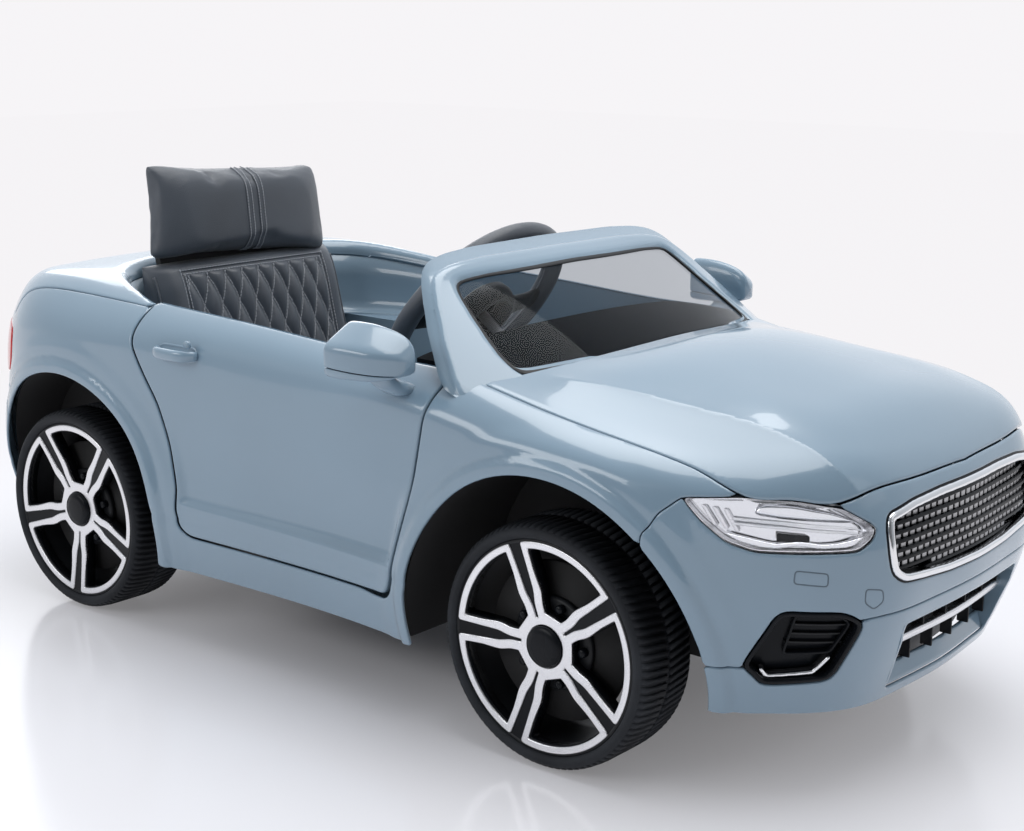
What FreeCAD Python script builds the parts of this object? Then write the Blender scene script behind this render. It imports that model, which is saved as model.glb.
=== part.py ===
"""Electric ride-on car for one child: an open plastic body on a black floor pan, in millimetres.

X points forward, Y to the car's left and Z up. The origin lies on the ground, midway between nose and tail.
"""
import FreeCAD, Part
import math
import os
import re
import Sketcher
from FreeCAD import Placement, Rotation, Vector

SIZES = (
    ("body_length", 1260, "nose to tail"),
    ("body_width", 576, "widest at the rear arches"),
    ("skin", 3.5, "wall of the moulded body panels"),
    ("panel_gap", 0.8, "seam between fixed panels"),
    ("door_gap", 2.5, "shut line round a door"),
    ("seat_gap", 0.4, "clearance of what seats inside the skin"),
    ("sill_height", 85, "lower edge of the body"),
    ("crease_height", 158, "lower crease of the side"),
    ("waist_height", 240, "hollow of the side"),
    ("shoulder_height", 325, "upper swell of the side"),
    ("front_overhang", 302, "nose to front axle"),
    ("wheelbase", 706, "front axle to rear axle"),
    ("cabin_setback", 328, "front axle to the middle of the cabin"),
    ("tyre_radius", 120, "rolling radius"),
    ("tyre_width", 84, "over the sidewalls"),
    ("rim_radius", 105, "seat of the tyre on the rim"),
    ("wheel_face", 281, "car's middle to the outer face of a wheel"),
    ("arch_height", 125, "centre of the wheel arches"),
    ("arch_radius", 162, "opening of the wheel arches"),
    ("flare_width", 16, "raised lip round an arch, along the radius"),
    ("flare_depth", 5, "raised lip round an arch, outwards"),
    ("liner_gap", 4, "wheel arch edge to its black liner"),
    ("liner_wall", 3, "wall of the wheel liners"),
    ("front_liner_inner", 136, "car's middle to the front liners' inner wall"),
    ("rear_liner_inner", 182, "car's middle to the rear liners' inner wall"),
    ("floor_height", 92, "underside of the floor pan"),
    ("floor_thickness", 8, "floor pan plate"),
    ("running_fit", 0.05, "radial clearance of pins and axles that turn"),
    ("fixed_fit", 0.02, "radial clearance of pins that are held"),
    ("axle_radius", 5, "rear axle and front spindles"),
    ("kingpin_offset", 180, "car's middle to a kingpin"),
    ("kingpin_radius", 4, "steering pivot pins"),
    ("knuckle_radius", 12, "barrel of a steering knuckle"),
    ("knuckle_height", 43, "barrel of a steering knuckle"),
    ("ear_thickness", 8, "lugs that hold a kingpin"),
    ("steer_arm", 46, "kingpin to track rod pin"),
    ("rod_pin_radius", 4, "pin of a steering arm"),
    ("rod_height", 105.5, "underside of the track rod"),
    ("rod_thickness", 6, "track rod bar"),
    ("column_slope", 37, "steering column below level, degrees"),
    ("column_radius", 6, "steering column"),
    ("crank", 24.4, "crank of the steering column"),
    ("crank_pin_radius", 6, "round end of the crank"),
    ("fork_clearance", 0.9, "track rod fork beside the crank"),
    ("steering_x", 10, "cabin middle to the steering wheel's centre"),
    ("steering_z", 372, "height of the steering wheel's centre"),
    ("steering_radius", 113, "steering wheel to the middle of its grip"),
    ("grip_radius", 12, "steering wheel grip"),
    ("hub_radius", 40, "steering wheel hub"),
    ("horn_radius", 30, "horn button"),
    ("horn_travel", 3, "horn button stroke"),
    ("button_gap", 0.4, "clearance round buttons"),
    ("tub_width", 472, "cockpit tub over its walls"),
    ("tub_wall", 4, "cockpit tub wall"),
    ("seat_height", 185, "underside of the seat shelf"),
    ("seat_front", 90, "seat shelf ahead edge behind the cabin middle"),
    ("tub_rear", 410, "cabin middle to the back of the tub"),
    ("rear_tub_width", 352, "tub between the rear wheel liners"),
    ("shelf_height", 298, "tub shelf above the rear wheel liners"),
    ("dash_face", 132, "cabin middle to the dashboard face"),
    ("dash_bottom", 252, "lower edge of the dashboard"),
    ("door_depth", 46, "door thickness from the skin inwards"),
    ("door_frame", 12, "solid edge round a door"),
    ("hinge_radius", 4.5, "door edge round its hinge line"),
    ("hinge_y", 276.3, "car's middle to a door hinge line"),
    ("hinge_x", 132.5, "cabin middle to the hinge line at the door's lower edge"),
    ("hinge_lean", 14.8, "forward lean of the hinge line, degrees"),
    ("door_bottom", 131, "lower edge of a door"),
    ("hinge_pin_radius", 2, "door hinge pins"),
    ("hinge_pin_length", 34, "door hinge pins"),
    ("hinge_lug", 10, "hinge lug along the hinge line"),
    ("hinge_room", 12.9, "room for a door's outer edge round its hinge line"),
    ("screen_thickness", 3, "clear windscreen"),
    ("frame_thickness", 18, "windscreen frame"),
    ("grille_rim", 7, "chrome rim of the grille"),
    ("lamp_depth", 26, "headlight bowl behind the lens"),
    ("pedal_x", 58, "cabin middle to the pedal hinge"),
    ("pedal_y", -85, "pedal middle"),
    ("pedal_width", 62, "pedal plate"),
    ("pedal_length", 84, "pedal plate"),
    ("pedal_slope", 42, "pedal plate at rest, degrees"),
    ("pedal_pin_radius", 3, "pedal hinge pin"),
    ("motor_radius", 18, "drive motor can"),
    ("motor_length", 58, "drive motor can"),
    ("gearbox_width", 40, "gearbox across the car"),
    ("start_radius", 11, "start button"),
    ("rocker_length", 26, "direction rocker"),
)

doc = FreeCAD.newDocument("ride_on_car")
sheet = doc.addObject("Spreadsheet::Sheet", "sizes")
for row, (alias, number, note) in enumerate(SIZES, 1):
    sheet.set("A%d" % row, note)
    sheet.set("B%d" % row, str(number))
    sheet.setAlias("B%d" % row, alias)
doc.recompute()

ALIASES = {alias for alias, number, note in SIZES}
NODES = []

# Places along the car, as expressions on the sheet.
FRONT_AXLE = "(body_length / 2 - front_overhang)"
REAR_AXLE = "(body_length / 2 - front_overhang - wheelbase)"
CABIN = "(body_length / 2 - front_overhang - cabin_setback)"
FLOOR_TOP = "(floor_height + floor_thickness)"
LINER_OUTER = "(arch_radius + liner_gap + liner_wall)"
WHEEL_Y = "(wheel_face - tyre_width / 2)"
TILT = "(90 - column_slope)"
ROD_X = "(body_length / 2 - front_overhang - steer_arm)"
CRANK_AT = "((cabin_setback - steer_arm - steering_x + crank * sin(column_slope)) / cos(column_slope))"
CRANK_PIN_Z = "(steering_z - %s * sin(column_slope) - crank * cos(column_slope))" % CRANK_AT


def at(text):
    """Value of an expression on the sheet."""
    return float(sheet.evalExpression(str(text)))


def bound(text):
    """The expression with each alias named through the sheet."""
    return re.sub(r"[a-z_]+", lambda word: "sizes." + word[0] if word[0] in ALIASES else word[0], str(text))


def bind(obj, **properties):
    for name, text in properties.items():
        obj.setExpression(name, bound(text))


def place(obj, x=0, y=0, z=0, axis=None, angle=0):
    if axis:
        obj.Placement = Placement(Vector(), Rotation(Vector(*axis), 30))
        obj.setExpression("Placement.Rotation.Angle", bound(angle))
    for name, text in (("x", x), ("y", y), ("z", z)):
        obj.setExpression("Placement.Base." + name, bound(text))
    return obj


def box(name, x, y, z, length, width, height):
    obj = doc.addObject("Part::Box", name)
    bind(obj, Length=length, Width=width, Height=height)
    return place(obj, x, y, z)


def cylinder(name, radius, height, x=0, y=0, z=0, along="z"):
    obj = doc.addObject("Part::Cylinder", name)
    bind(obj, Radius=radius, Height=height)
    turned = {"x": ((0, 1, 0), 90), "y": ((-1, 0, 0), 90), "z": (None, 0)}[along]
    return place(obj, x, y, z, *turned)


def fuse(name, *shapes):
    obj = doc.addObject("Part::MultiFuse", name)
    obj.Shapes = list(shapes)
    obj.Refine = True
    return obj


def cut(name, base, *tools):
    obj = doc.addObject("Part::Cut", name)
    obj.Base = base
    obj.Tool = tools[0] if len(tools) == 1 else fuse(name + "_tools", *tools)
    return obj


def feature(name, shape):
    obj = doc.addObject("Part::Feature", name)
    obj.Shape = shape
    return obj


def keep(obj, label):
    """Make an object a named piece of the car."""
    obj.Label = label
    NODES.append(obj)
    return obj


def keep_shape(label, shape):
    return keep(feature(label, shape), label)


def left_twin(obj, label):
    twin = doc.addObject("Part::Mirroring", label)
    twin.Source = obj
    twin.Normal = Vector(0, 1, 0)
    return keep(twin, label)


def mirrored(shape):
    return shape.mirror(Vector(), Vector(0, 1, 0))


def polygon(points):
    return Part.makePolygon(points + points[:1])


def prism(points, direction, grow=0):
    face = Part.Face(polygon(points))
    if grow:
        face = face.makeOffset2D(grow, join=2)
    return face.extrude(direction)


def block(x_from, x_to, y_from, y_to, z_from, z_to):
    corner = Vector(x_from, y_from, z_from)
    return Part.makeBox(x_to - x_from, y_to - y_from, z_to - z_from, corner)


# Body surface. Each level is one plan outline: side inset, nose width inset, nose set back, tail set back.
LEVELS = (
    ("sill_height", 12, 28, 34, 22),
    ("crease_height", 0, 10, 8, 6),
    ("waist_height", 3.5, 2, 0, 0),
    ("shoulder_height", 2, 6, 34, 14),
    ("shoulder_height + 105", 28, 40, 110, 80),
)
# Distance from the nose or the tail, and share of the half width there.
NOSE_CURVE = ((4, 0.30), (14, 0.53), (50, 0.72), (105, 0.855), (185, 0.955))
TAIL_CURVE = ((8, 0.38), (28, 0.64), (72, 0.82), (135, 0.945))
SIDE_CURVE = ((FRONT_AXLE, 0.995), (CABIN + " + 100", 0.985), (CABIN + " - 150", 0.985), (REAR_AXLE, 1.0))
# Crown of the top at stations along a car of this length and shoulder: height at the middle, at the
# hood crease, at the fender top and at the edge.
DRAWN_LENGTH = 1260
DRAWN_SHOULDER = 325
CROWNS = (
    (-660, 285, 283, 275, 262),
    (-605, 350, 346, 336, 318),
    (-550, 384, 380, 368, 338),
    (-480, 398, 393, 382, 347),
    (-380, 402, 397, 384, 349),
    (-226, 394, 389, 378, 350),
    (-40, 384, 379, 370, 346),
    (120, 376, 371, 362, 342),
    (200, 373, 368, 359, 336),
    (264, 372, 361, 347, 326),
    (330, 379, 356, 334, 315),
    (420, 374, 347, 320, 303),
    (500, 360, 338, 307, 285),
    (560, 341, 322, 299, 270),
    (605, 306, 302, 290, 255),
    (660, 252, 248, 238, 205),
)
CREASE_SHARE, FENDER_SHARE, BEYOND_SHARE = 0.63, 0.85, 1.1
CROWN_SHARE, CROWN_DROP, BEYOND_DROP = 0.34, 0.25, 40


def plan_outline(level, inset):
    height, side, nose_width, nose, tail = level
    z = at(height)
    nose_x = at("body_length / 2") - nose - inset
    tail_x = tail + inset - at("body_length / 2")
    nose_half = at("body_width / 2") - nose_width - inset
    side_half = at("body_width / 2") - side - inset
    half = [(nose_x, 0)]
    half += [(nose_x - back, share * nose_half) for back, share in NOSE_CURVE]
    half += [(at(x), share * side_half) for x, share in SIDE_CURVE]
    half += [(tail_x + ahead, share * side_half) for ahead, share in reversed(TAIL_CURVE)]
    half += [(tail_x, 0)]
    edges = []
    for turn, run in ((-1, half), (1, half[::-1])):
        curve = Part.BSplineCurve()
        ends = [Vector(0, -1, 0), Vector(0, 1, 0)][::-turn]
        curve.interpolate(Points=[Vector(x, turn * y, z) for x, y in run],
                          InitialTangent=ends[0], FinalTangent=ends[1])
        edges.append(curve.toShape())
    return Part.Wire(edges)


def crown_section(row, inset):
    x = row[0] * at("body_length") / DRAWN_LENGTH
    middle, crease, fender, edge = (z + at("shoulder_height") - DRAWN_SHOULDER - inset for z in row[1:])
    wide = at("body_width / 2")
    half = [(CROWN_SHARE, middle - CROWN_DROP * (middle - crease)), (CREASE_SHARE, crease),
            (FENDER_SHARE, fender), (1, edge), (BEYOND_SHARE, edge - BEYOND_DROP)]
    points = [Vector(x, -share * wide, z) for share, z in reversed(half)]
    points.append(Vector(x, 0, middle))
    points += [Vector(x, share * wide, z) for share, z in half]
    crown = Part.BSplineCurve()
    crown.interpolate(Points=points)
    low = at("sill_height / 2")
    first, last = points[0], points[-1]
    foot, other_foot = Vector(x, last.y, low), Vector(x, first.y, low)
    return Part.Wire([crown.toShape(), Part.makeLine(last, foot),
                      Part.makeLine(foot, other_foot), Part.makeLine(other_foot, first)])


def hull(inset):
    """The whole body's outside as a solid, drawn in by inset."""
    sides = Part.makeLoft([plan_outline(level, inset) for level in LEVELS], True, False)
    top = Part.makeLoft([crown_section(row, inset) for row in CROWNS], True, False)
    return sides.common(top)


def across_cylinder(x, z, radius):
    wide = at("body_width")
    return Part.makeCylinder(radius, 2 * wide, Vector(x, -wide, z), Vector(0, 1, 0))


AXLES = (at(FRONT_AXLE), at(REAR_AXLE))
ARCH_Z = at("arch_height")
outer = hull(0)
inner = hull(at("skin"))
seat_hull = hull(at("skin + seat_gap"))


def flared_outer():
    """The outside with the raised lips round the wheel arches."""
    wide_hull = hull(-at("flare_depth"))
    shape = outer
    for x in AXLES:
        lip = across_cylinder(x, ARCH_Z, at("arch_radius + flare_width"))
        lip = lip.cut(across_cylinder(x, ARCH_Z, at("arch_radius - 1")))
        lip = lip.cut(block(x - 400, x + 400, -at("0.7 * wheel_face"), at("0.7 * wheel_face"), 0, 500))
        shape = shape.fuse(lip.common(wide_hull))
    return shape


def arch_openings():
    front, rear = (across_cylinder(x, ARCH_Z, at("arch_radius")) for x in AXLES)
    return front.fuse(rear)


flared = flared_outer()
skin_shell = flared.cut(inner).cut(arch_openings())

# Panel outlines. Side outlines are (x from the cabin middle, z), plan outlines (x, half width).
CABIN_X = at(CABIN)
HALF_LENGTH = at("body_length / 2")
HALF_WIDTH = at("body_width / 2")
FAR = 700
TOP = 460
DOOR_REAR = ((-167, 131), (-179, 140), (-182, 156), (-180, 185), (-192, 230), (-210, 277), (-231, 309),
             (-250, 340), (-247, TOP))


def hinge_point(along):
    """Point of the right door's hinge line, that far up from the door's lower edge."""
    lean = math.radians(at("hinge_lean"))
    foot = Vector(CABIN_X + at("hinge_x"), -at("hinge_y"), at("door_bottom"))
    return foot + Vector(math.sin(lean), 0, math.cos(lean)) * along


def door_outline():
    """The door in side view, with its front edge hinge_radius ahead of the hinge line."""
    ahead = at("hinge_radius / cos(hinge_lean)")
    foot, head = hinge_point(0), hinge_point(at("(%d - door_bottom) / cos(hinge_lean)" % TOP))
    front = [(foot.x + ahead, foot.z), (head.x + ahead, head.z)]
    bottom = at("door_bottom")
    rear = [(CABIN_X + x, max(z, bottom)) for x, z in reversed(DOOR_REAR)]
    return front + rear


def side_prism(outline, y_from, y_to, grow=0):
    return prism([Vector(x, y_from, z) for x, z in outline], Vector(0, y_to - y_from, 0), grow)


def plan_prism(half_outline, z_from, z_to, grow=0):
    """Prism over a plan outline given for one side and mirrored."""
    points = [Vector(x, -y, z_from) for x, y in half_outline]
    points += [Vector(x, y, z_from) for x, y in reversed(half_outline) if y]
    return prism(points, Vector(0, 0, z_to - z_from), grow)


def slant_prism(outline, outward, near, far, grow=0):
    """Prism along a level slanting direction over an outline of (distance across, height)."""
    across = Vector(-outward.y, outward.x, 0)
    points = [across * u + outward * near + Vector(0, 0, z) for u, z in outline]
    return prism(points, outward * (far - near), grow)


FRONT_CORNER = Vector(1, -1, 0) / math.sqrt(2)
REAR_CORNER = Vector(-1, -1, 0) / math.sqrt(2)
CORNER_U = (HALF_LENGTH - HALF_WIDTH) / math.sqrt(2)
CORNER_W = (HALF_LENGTH + HALF_WIDTH) / math.sqrt(2)
HEADLIGHT = ((-95, 289), (-46, 293), (2, 291), (41, 284), (73, 266), (69, 256), (55, 247), (-35, 247),
             (-59, 254), (-80, 271))
FOG_POCKET = ((-44, 192), (6, 183), (58, 173), (68, 163), (58, 126), (13, 120), (-21, 117), (-38, 135))
TAIL_LAMP = ((-32, 262), (-34, 325), (-4, 329), (38, 316), (34, 262), (0, 256))
HOOD = ((242, 217), (229, 245), (470, 242), (517, 238), (552, 216), (578, 192), (596, 154), (606, 86), (610, 0))
SCREEN_FOOT_X, SCREEN_CORNER_X, SCREEN_HALF = 286, 242, 217
BUMPER = ((440, 40), (440, 252), (453, 274), (470, 289), (548, 289), (600, 340), (FAR, 340), (FAR, 40))
LIP = ((440, 40), (440, 134), (535, 135), (600, 184), (FAR, 186), (FAR, 40))
REAR_BUMPER = ((-515, 40), (-515, 250), (-582, 250), (-582, 338), (-FAR, 338), (-FAR, 40))
REAR_DECK = ((-256, 0), (-256, 252), (-FAR, 252), (-FAR, 0))
GRILLE = ((0, 283), (60, 283), (110, 280), (143, 273), (153, 240), (146, 222), (120, 211), (0, 206))
INTAKE = ((0, 164), (116, 163), (110, 136), (0, 131))
NOSE_PANELS = HALF_LENGTH - DRAWN_LENGTH / 2


def shifted(outline, step):
    return [(x + step, z) for x, z in outline]


def corner_u(outline, centre):
    return [(centre + u, z) for u, z in outline]


def headlight_prism(grow=0):
    return slant_prism(corner_u(HEADLIGHT, CORNER_U), FRONT_CORNER, 0.6 * CORNER_W, 1.2 * CORNER_W, grow)


def fog_prism(grow=0):
    return slant_prism(corner_u(FOG_POCKET, CORNER_U), FRONT_CORNER, 0.6 * CORNER_W, 1.2 * CORNER_W, grow)


def tail_lamp_prism(grow=0):
    outline = [(-CORNER_U - u, z) for u, z in TAIL_LAMP]
    return slant_prism(outline, REAR_CORNER, 0.6 * CORNER_W, 1.2 * CORNER_W, grow)


def front_prism(half_outline, grow=0):
    """Prism along the car over an outline of (half width, height), mirrored."""
    points = [Vector(HALF_LENGTH - 90, -y, z) for y, z in half_outline]
    points += [Vector(HALF_LENGTH - 90, y, z) for y, z in reversed(half_outline) if y]
    return prism(points, Vector(180, 0, 0), grow)


def hood_prism(grow=0):
    """The hood in plan, with an arc along the foot of the windscreen."""
    side = shifted(HOOD, NOSE_PANELS)
    right = [Vector(x, -y, 0) for x, y in side]
    left = [Vector(x, y, 0) for x, y in reversed(side) if y]
    path = right + left
    edges = [Part.makeLine(a, b) for a, b in zip(path, path[1:])]
    middle = Vector(SCREEN_FOOT_X + NOSE_PANELS, 0, 0)
    edges.append(Part.Arc(path[-1], middle, path[0]).toShape())
    face = Part.Face(Part.Wire(edges))
    if grow:
        face = face.makeOffset2D(grow, join=2)
    face.translate(Vector(0, 0, 240))
    return face.extrude(Vector(0, 0, TOP - 240))


def door_prism(grow=0):
    return side_prism(door_outline(), -HALF_WIDTH - 40, -HALF_WIDTH + 120, grow)


def both(shape):
    return [shape, mirrored(shape)]


def largest(shape):
    """The main solid, without slivers that the cuts left beside it."""
    return max(shape.Solids, key=lambda solid: solid.Volume)


GAP = at("panel_gap")
bumper_zone = side_prism(shifted(BUMPER, NOSE_PANELS), -FAR, FAR)
bumper_zone_grown = side_prism(shifted(BUMPER, NOSE_PANELS), -FAR, FAR, GAP)
lip_zone = side_prism(shifted(LIP, NOSE_PANELS), -FAR, FAR)
rear_bumper_zone = side_prism(shifted(REAR_BUMPER, -NOSE_PANELS), -FAR, FAR)
rear_bumper_zone_grown = side_prism(shifted(REAR_BUMPER, -NOSE_PANELS), -FAR, FAR, GAP)
deck_zone = plan_prism(shifted(REAR_DECK, CABIN_X), 338 + GAP, TOP)
deck_zone_grown = plan_prism(shifted(REAR_DECK, CABIN_X), 338, TOP, GAP)
hood_zone, hood_zone_grown = hood_prism(), hood_prism(GAP)
lamp_holes = both(headlight_prism(GAP)) + both(fog_prism(GAP)) + both(tail_lamp_prism(GAP))


# Cockpit tub: rooms stacked from the footwell to the rounded collar above the rear liners.
TUB_HALF = at("tub_width / 2")
REAR_TUB_HALF = at("rear_tub_width / 2")
TUB_FRONT = at(FRONT_AXLE + " - " + LINER_OUTER + " - 4")
SEAT_X = CABIN_X - at("seat_front")
LINER_FRONT_X = at(REAR_AXLE + " + " + LINER_OUTER + " + 4")
TUB_REAR = CABIN_X - at("tub_rear")
COLLAR = ((-195, 226), (-262, 221), (-335, 206), (-390, 171), (-420, 106), (-430, 0))


def collar_room(inset, low):
    """Room above the shelf, with a rounded back in plan."""
    path = [Vector(x, -y, low) for x, y in shifted(COLLAR, CABIN_X)]
    path += [Vector(x, y, low) for x, y in reversed(shifted(COLLAR, CABIN_X)) if y]
    curve = Part.BSplineCurve()
    curve.interpolate(path)
    if inset:
        ways = [curve.tangent(curve.parameter(point))[0] for point in path]
        path = [point + Vector(way.y, -way.x, 0) * inset for point, way in zip(path, ways)]
        curve.interpolate(path)
    face = Part.Face(Part.Wire([curve.toShape(), Part.makeLine(path[-1], path[0])]))
    return face.extrude(Vector(0, 0, TOP - low))


def tub_blocks(inset, floor):
    """Room of the cockpit, drawn in by inset with its floors raised by floor."""
    foot = at(FLOOR_TOP) + floor
    seat = at("seat_height") + floor
    shelf = at("shelf_height") + floor
    wide, narrow = TUB_HALF - inset, REAR_TUB_HALF - inset
    rooms = (
        block(SEAT_X + inset, TUB_FRONT - inset, -wide, wide, foot, TOP),
        block(LINER_FRONT_X + inset, SEAT_X + inset, -wide, wide, seat, TOP),
        block(TUB_REAR + inset, LINER_FRONT_X + inset, -narrow, narrow, seat, at("shelf_height + tub_wall") - inset),
        block(TUB_REAR + inset, LINER_FRONT_X + inset, -narrow, narrow, seat, TOP).common(collar_room(inset, seat)),
        collar_room(inset, shelf),
    )
    return rooms[0].multiFuse(rooms[1:])


tub_inner = tub_blocks(at("tub_wall"), at("tub_wall"))
cockpit_mouth = tub_inner.fuse(block(CABIN_X, CABIN_X + 300, -TUB_HALF + 4, TUB_HALF - 4, 300, TOP))


def pedal_lugs():
    pin_x, y = CABIN_X + at("pedal_x"), at("pedal_y")
    half = at("pedal_width / 2 + button_gap")
    low = at(FLOOR_TOP + " + tub_wall")
    lugs = [block(pin_x - 8, pin_x + 8, y + side, y + side + 6, low - 1, low + 20) for side in (-half - 6, half)]
    bore = Part.makeCylinder(at("pedal_pin_radius + fixed_fit"), 2 * half + 30,
                             Vector(pin_x, y - half - 15, low + 12), Vector(0, 1, 0))
    return lugs[0].fuse(lugs[1]), bore


def cockpit_tub():
    shape = tub_blocks(0, 0).cut(tub_inner)
    entry = door_prism(-at("door_frame") + 4)
    shape = shape.cut(block(CABIN_X + at("dash_face") - 4, TUB_FRONT + 1, -FAR, FAR, at("dash_bottom"), TOP))
    for hole in both(entry):
        shape = shape.cut(hole)
    shape = shape.common(seat_hull)
    lugs, bore = pedal_lugs()
    return shape.fuse(lugs).cut(bore)


def rear_deck():
    deck = skin_shell.common(deck_zone).cut(cockpit_mouth).cut(rear_bumper_zone_grown)
    for hole in lamp_holes[4:]:
        deck = deck.cut(hole)
    return deck


def hinge_axis_box(along_from, along_to, ahead_from, ahead_to, y_from, y_to):
    """Box whose height runs along the right door's hinge line."""
    shape = block(ahead_from, ahead_to, y_from, y_to, along_from, along_to)
    foot = hinge_point(0)
    shape.Placement = Placement(foot, Rotation(Vector(0, 1, 0), at("hinge_lean")))
    return shape


def hinge_cylinder(radius, along_from, along_to):
    low, high = hinge_point(along_from), hinge_point(along_to)
    return Part.makeCylinder(radius, along_to - along_from, low, high - low)


HINGES_AT = (46, 178)


def hinge_lugs():
    """Two eyes on the fender that carry the right door's hinge pins."""
    half = at("hinge_lug / 2")
    lugs = []
    for along in HINGES_AT:
        eye = hinge_cylinder(at("hinge_radius - 0.3"), along - half, along + half)
        arm = hinge_axis_box(along - half, along + half, 0, 26, 0.5, 7)
        foot = hinge_axis_box(along - half, along + half, 14, 26, -20, 7).common(outer)
        bore = hinge_cylinder(at("hinge_pin_radius + fixed_fit"), along - 2 * half, along + 2 * half)
        lugs.append(eye.fuse(arm).fuse(foot).cut(bore))
    return lugs


def body_side():
    """Right front fender, sill and rear quarter in one moulding."""
    side = skin_shell.common(block(-FAR, FAR, -FAR, -at("grille_rim"), 0, FAR))
    for zone in (hood_zone_grown, bumper_zone_grown, rear_bumper_zone_grown, deck_zone_grown, cockpit_mouth):
        side = side.cut(zone)
    side = side.cut(door_prism(at("door_gap"))).cut(lamp_holes[0]).cut(lamp_holes[4])
    side = side.cut(hinge_cylinder(at("hinge_room"), 120, 260))
    liner_room = across_cylinder(AXLES[0], ARCH_Z, at(LINER_OUTER + " + seat_gap"))
    for lug in hinge_lugs():
        side = side.fuse(lug.cut(liner_room))
    return largest(side)


def door():
    """Right door: the skin with a solid edge, open to the inside."""
    depth = HALF_WIDTH - at("door_depth")
    shape = outer.common(door_prism()).common(block(-FAR, FAR, -FAR, -depth, 0, FAR))
    pocket = inner.common(door_prism(-at("door_frame")))
    behind_skin = inner.cut(door_prism(-at("door_frame / 2")))
    shape = shape.cut(pocket).cut(behind_skin.common(block(-FAR, FAR, -FAR, -depth + 5, 0, FAR)))
    ahead = hinge_axis_box(-60, 400, 0, 60, -60, 80).cut(hinge_cylinder(at("hinge_radius"), -60, 400))
    shape = shape.cut(ahead)
    half = at("hinge_lug / 2 + button_gap")
    for along in HINGES_AT:
        shape = shape.cut(hinge_axis_box(along - half, along + half, -at("hinge_radius + 1.5"), 60, -60, 14))
        reach = at("hinge_pin_length / 2 + 1")
        shape = shape.cut(hinge_cylinder(at("hinge_pin_radius + running_fit"), along - reach, along + reach))
    return shape


def door_panel():
    """Trim plate that closes the right door's inside."""
    depth = HALF_WIDTH - at("door_depth")
    plate = door_prism(-at("door_frame + seat_gap")).common(seat_hull)
    return plate.common(block(-FAR, FAR, -depth - 5, -depth, 0, FAR))


def hinge_pins():
    half = at("hinge_pin_length / 2")
    pins = [hinge_cylinder(at("hinge_pin_radius"), along - half, along + half) for along in HINGES_AT]
    return pins + [mirrored(pin) for pin in pins]


body_side_right = keep_shape("body_side_right", body_side())
left_twin(body_side_right, "body_side_left")
keep_shape("rear_deck", rear_deck())
keep_shape("hood", skin_shell.common(hood_zone))
keep_shape("cockpit_tub", cockpit_tub())
door_right = keep_shape("door_right", door())
left_twin(door_right, "door_left")
panel_right = keep_shape("door_panel_right", door_panel())
left_twin(panel_right, "door_panel_left")


# Nose and tail: bumper, lip, lamps, grille and inserts.
def front_bumper():
    shape = skin_shell.common(bumper_zone).cut(hood_zone_grown)
    shape = shape.cut(side_prism(shifted(LIP, NOSE_PANELS), -FAR, FAR, GAP))
    shape = shape.cut(front_prism(GRILLE, GAP))
    for hole in lamp_holes[:4]:
        shape = shape.cut(hole)
    return largest(shape)


def front_lip():
    shape = skin_shell.common(bumper_zone).common(lip_zone).cut(front_prism(INTAKE, GAP))
    for hole in lamp_holes[2:4]:
        shape = shape.cut(hole)
    return shape


def rear_bumper():
    shape = skin_shell.common(rear_bumper_zone)
    for hole in lamp_holes[4:]:
        shape = shape.cut(hole)
    return shape


def bowl(prism_of, outward, depth, wall):
    """Tray behind the skin, open outwards, of the prism's outline."""
    reach = 0.6 * CORNER_W
    body = prism_of().common(seat_hull)
    nearest = body.BoundBox
    corner = Vector(nearest.XMax, nearest.YMin, 0)
    back = min(corner.dot(outward), CORNER_W) - 100 - depth
    slab = block(-2 * FAR, back - reach, -FAR, FAR, 0, FAR)
    slab.Placement = Placement(outward * reach, Rotation(Vector(1, 0, 0), outward))
    floor_slab = block(-2 * FAR, back - reach + wall, -FAR, FAR, 0, FAR)
    floor_slab.Placement = slab.Placement
    return body.cut(slab).cut(prism_of(-wall).cut(floor_slab))


keep_shape("front_bumper", front_bumper())
keep_shape("front_lip", front_lip())
keep_shape("rear_bumper", rear_bumper())
lens = keep_shape("headlight_lens_right", largest(skin_shell.common(headlight_prism()).cut(hood_zone_grown)))
left_twin(lens, "headlight_lens_left")
lamp_bowl = keep_shape("headlight_bowl_right", bowl(headlight_prism, FRONT_CORNER, at("lamp_depth"), 3))
left_twin(lamp_bowl, "headlight_bowl_left")
pocket = bowl(fog_prism, FRONT_CORNER, at("lamp_depth"), 3)
keep_shape("fog_pockets", Part.makeCompound(both(pocket)))
deep_hull = hull(at("4 * skin"))
tail_lamp = keep_shape("tail_lamp_right", outer.cut(deep_hull).common(tail_lamp_prism()))
left_twin(tail_lamp, "tail_lamp_left")


def grille_frame():
    proud = hull(-2)
    ring = front_prism(GRILLE).cut(front_prism(GRILLE, -at("grille_rim")))
    return ring.common(proud).common(block(HALF_LENGTH - 26, FAR, -FAR, FAR, 0, FAR))


def grille_bars(rows=7, columns=20, bar=2.2, depth=4):
    """Flat lattice with its holes in staggered rows."""
    inside = front_prism(GRILLE, -at("grille_rim + seat_gap"))
    plate = inside.common(block(HALF_LENGTH - 25, HALF_LENGTH - 25 + depth, -FAR, FAR, 0, FAR))
    low, high = 213, 276
    step_z, step_y = (high - low) / rows, 300 / columns
    holes = []
    for row in range(rows):
        z = low + row * step_z + bar / 2
        for column in range(columns + 1):
            y = -150 + (column - 0.5 * (row % 2)) * step_y + bar / 2
            holes.append(block(HALF_LENGTH - 40, HALF_LENGTH, y, y + step_y - bar, z, z + step_z - bar))
    room = front_prism(GRILLE, -at("grille_rim + seat_gap") - bar)
    return plate.cut(Part.makeCompound(holes).common(room))


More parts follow.
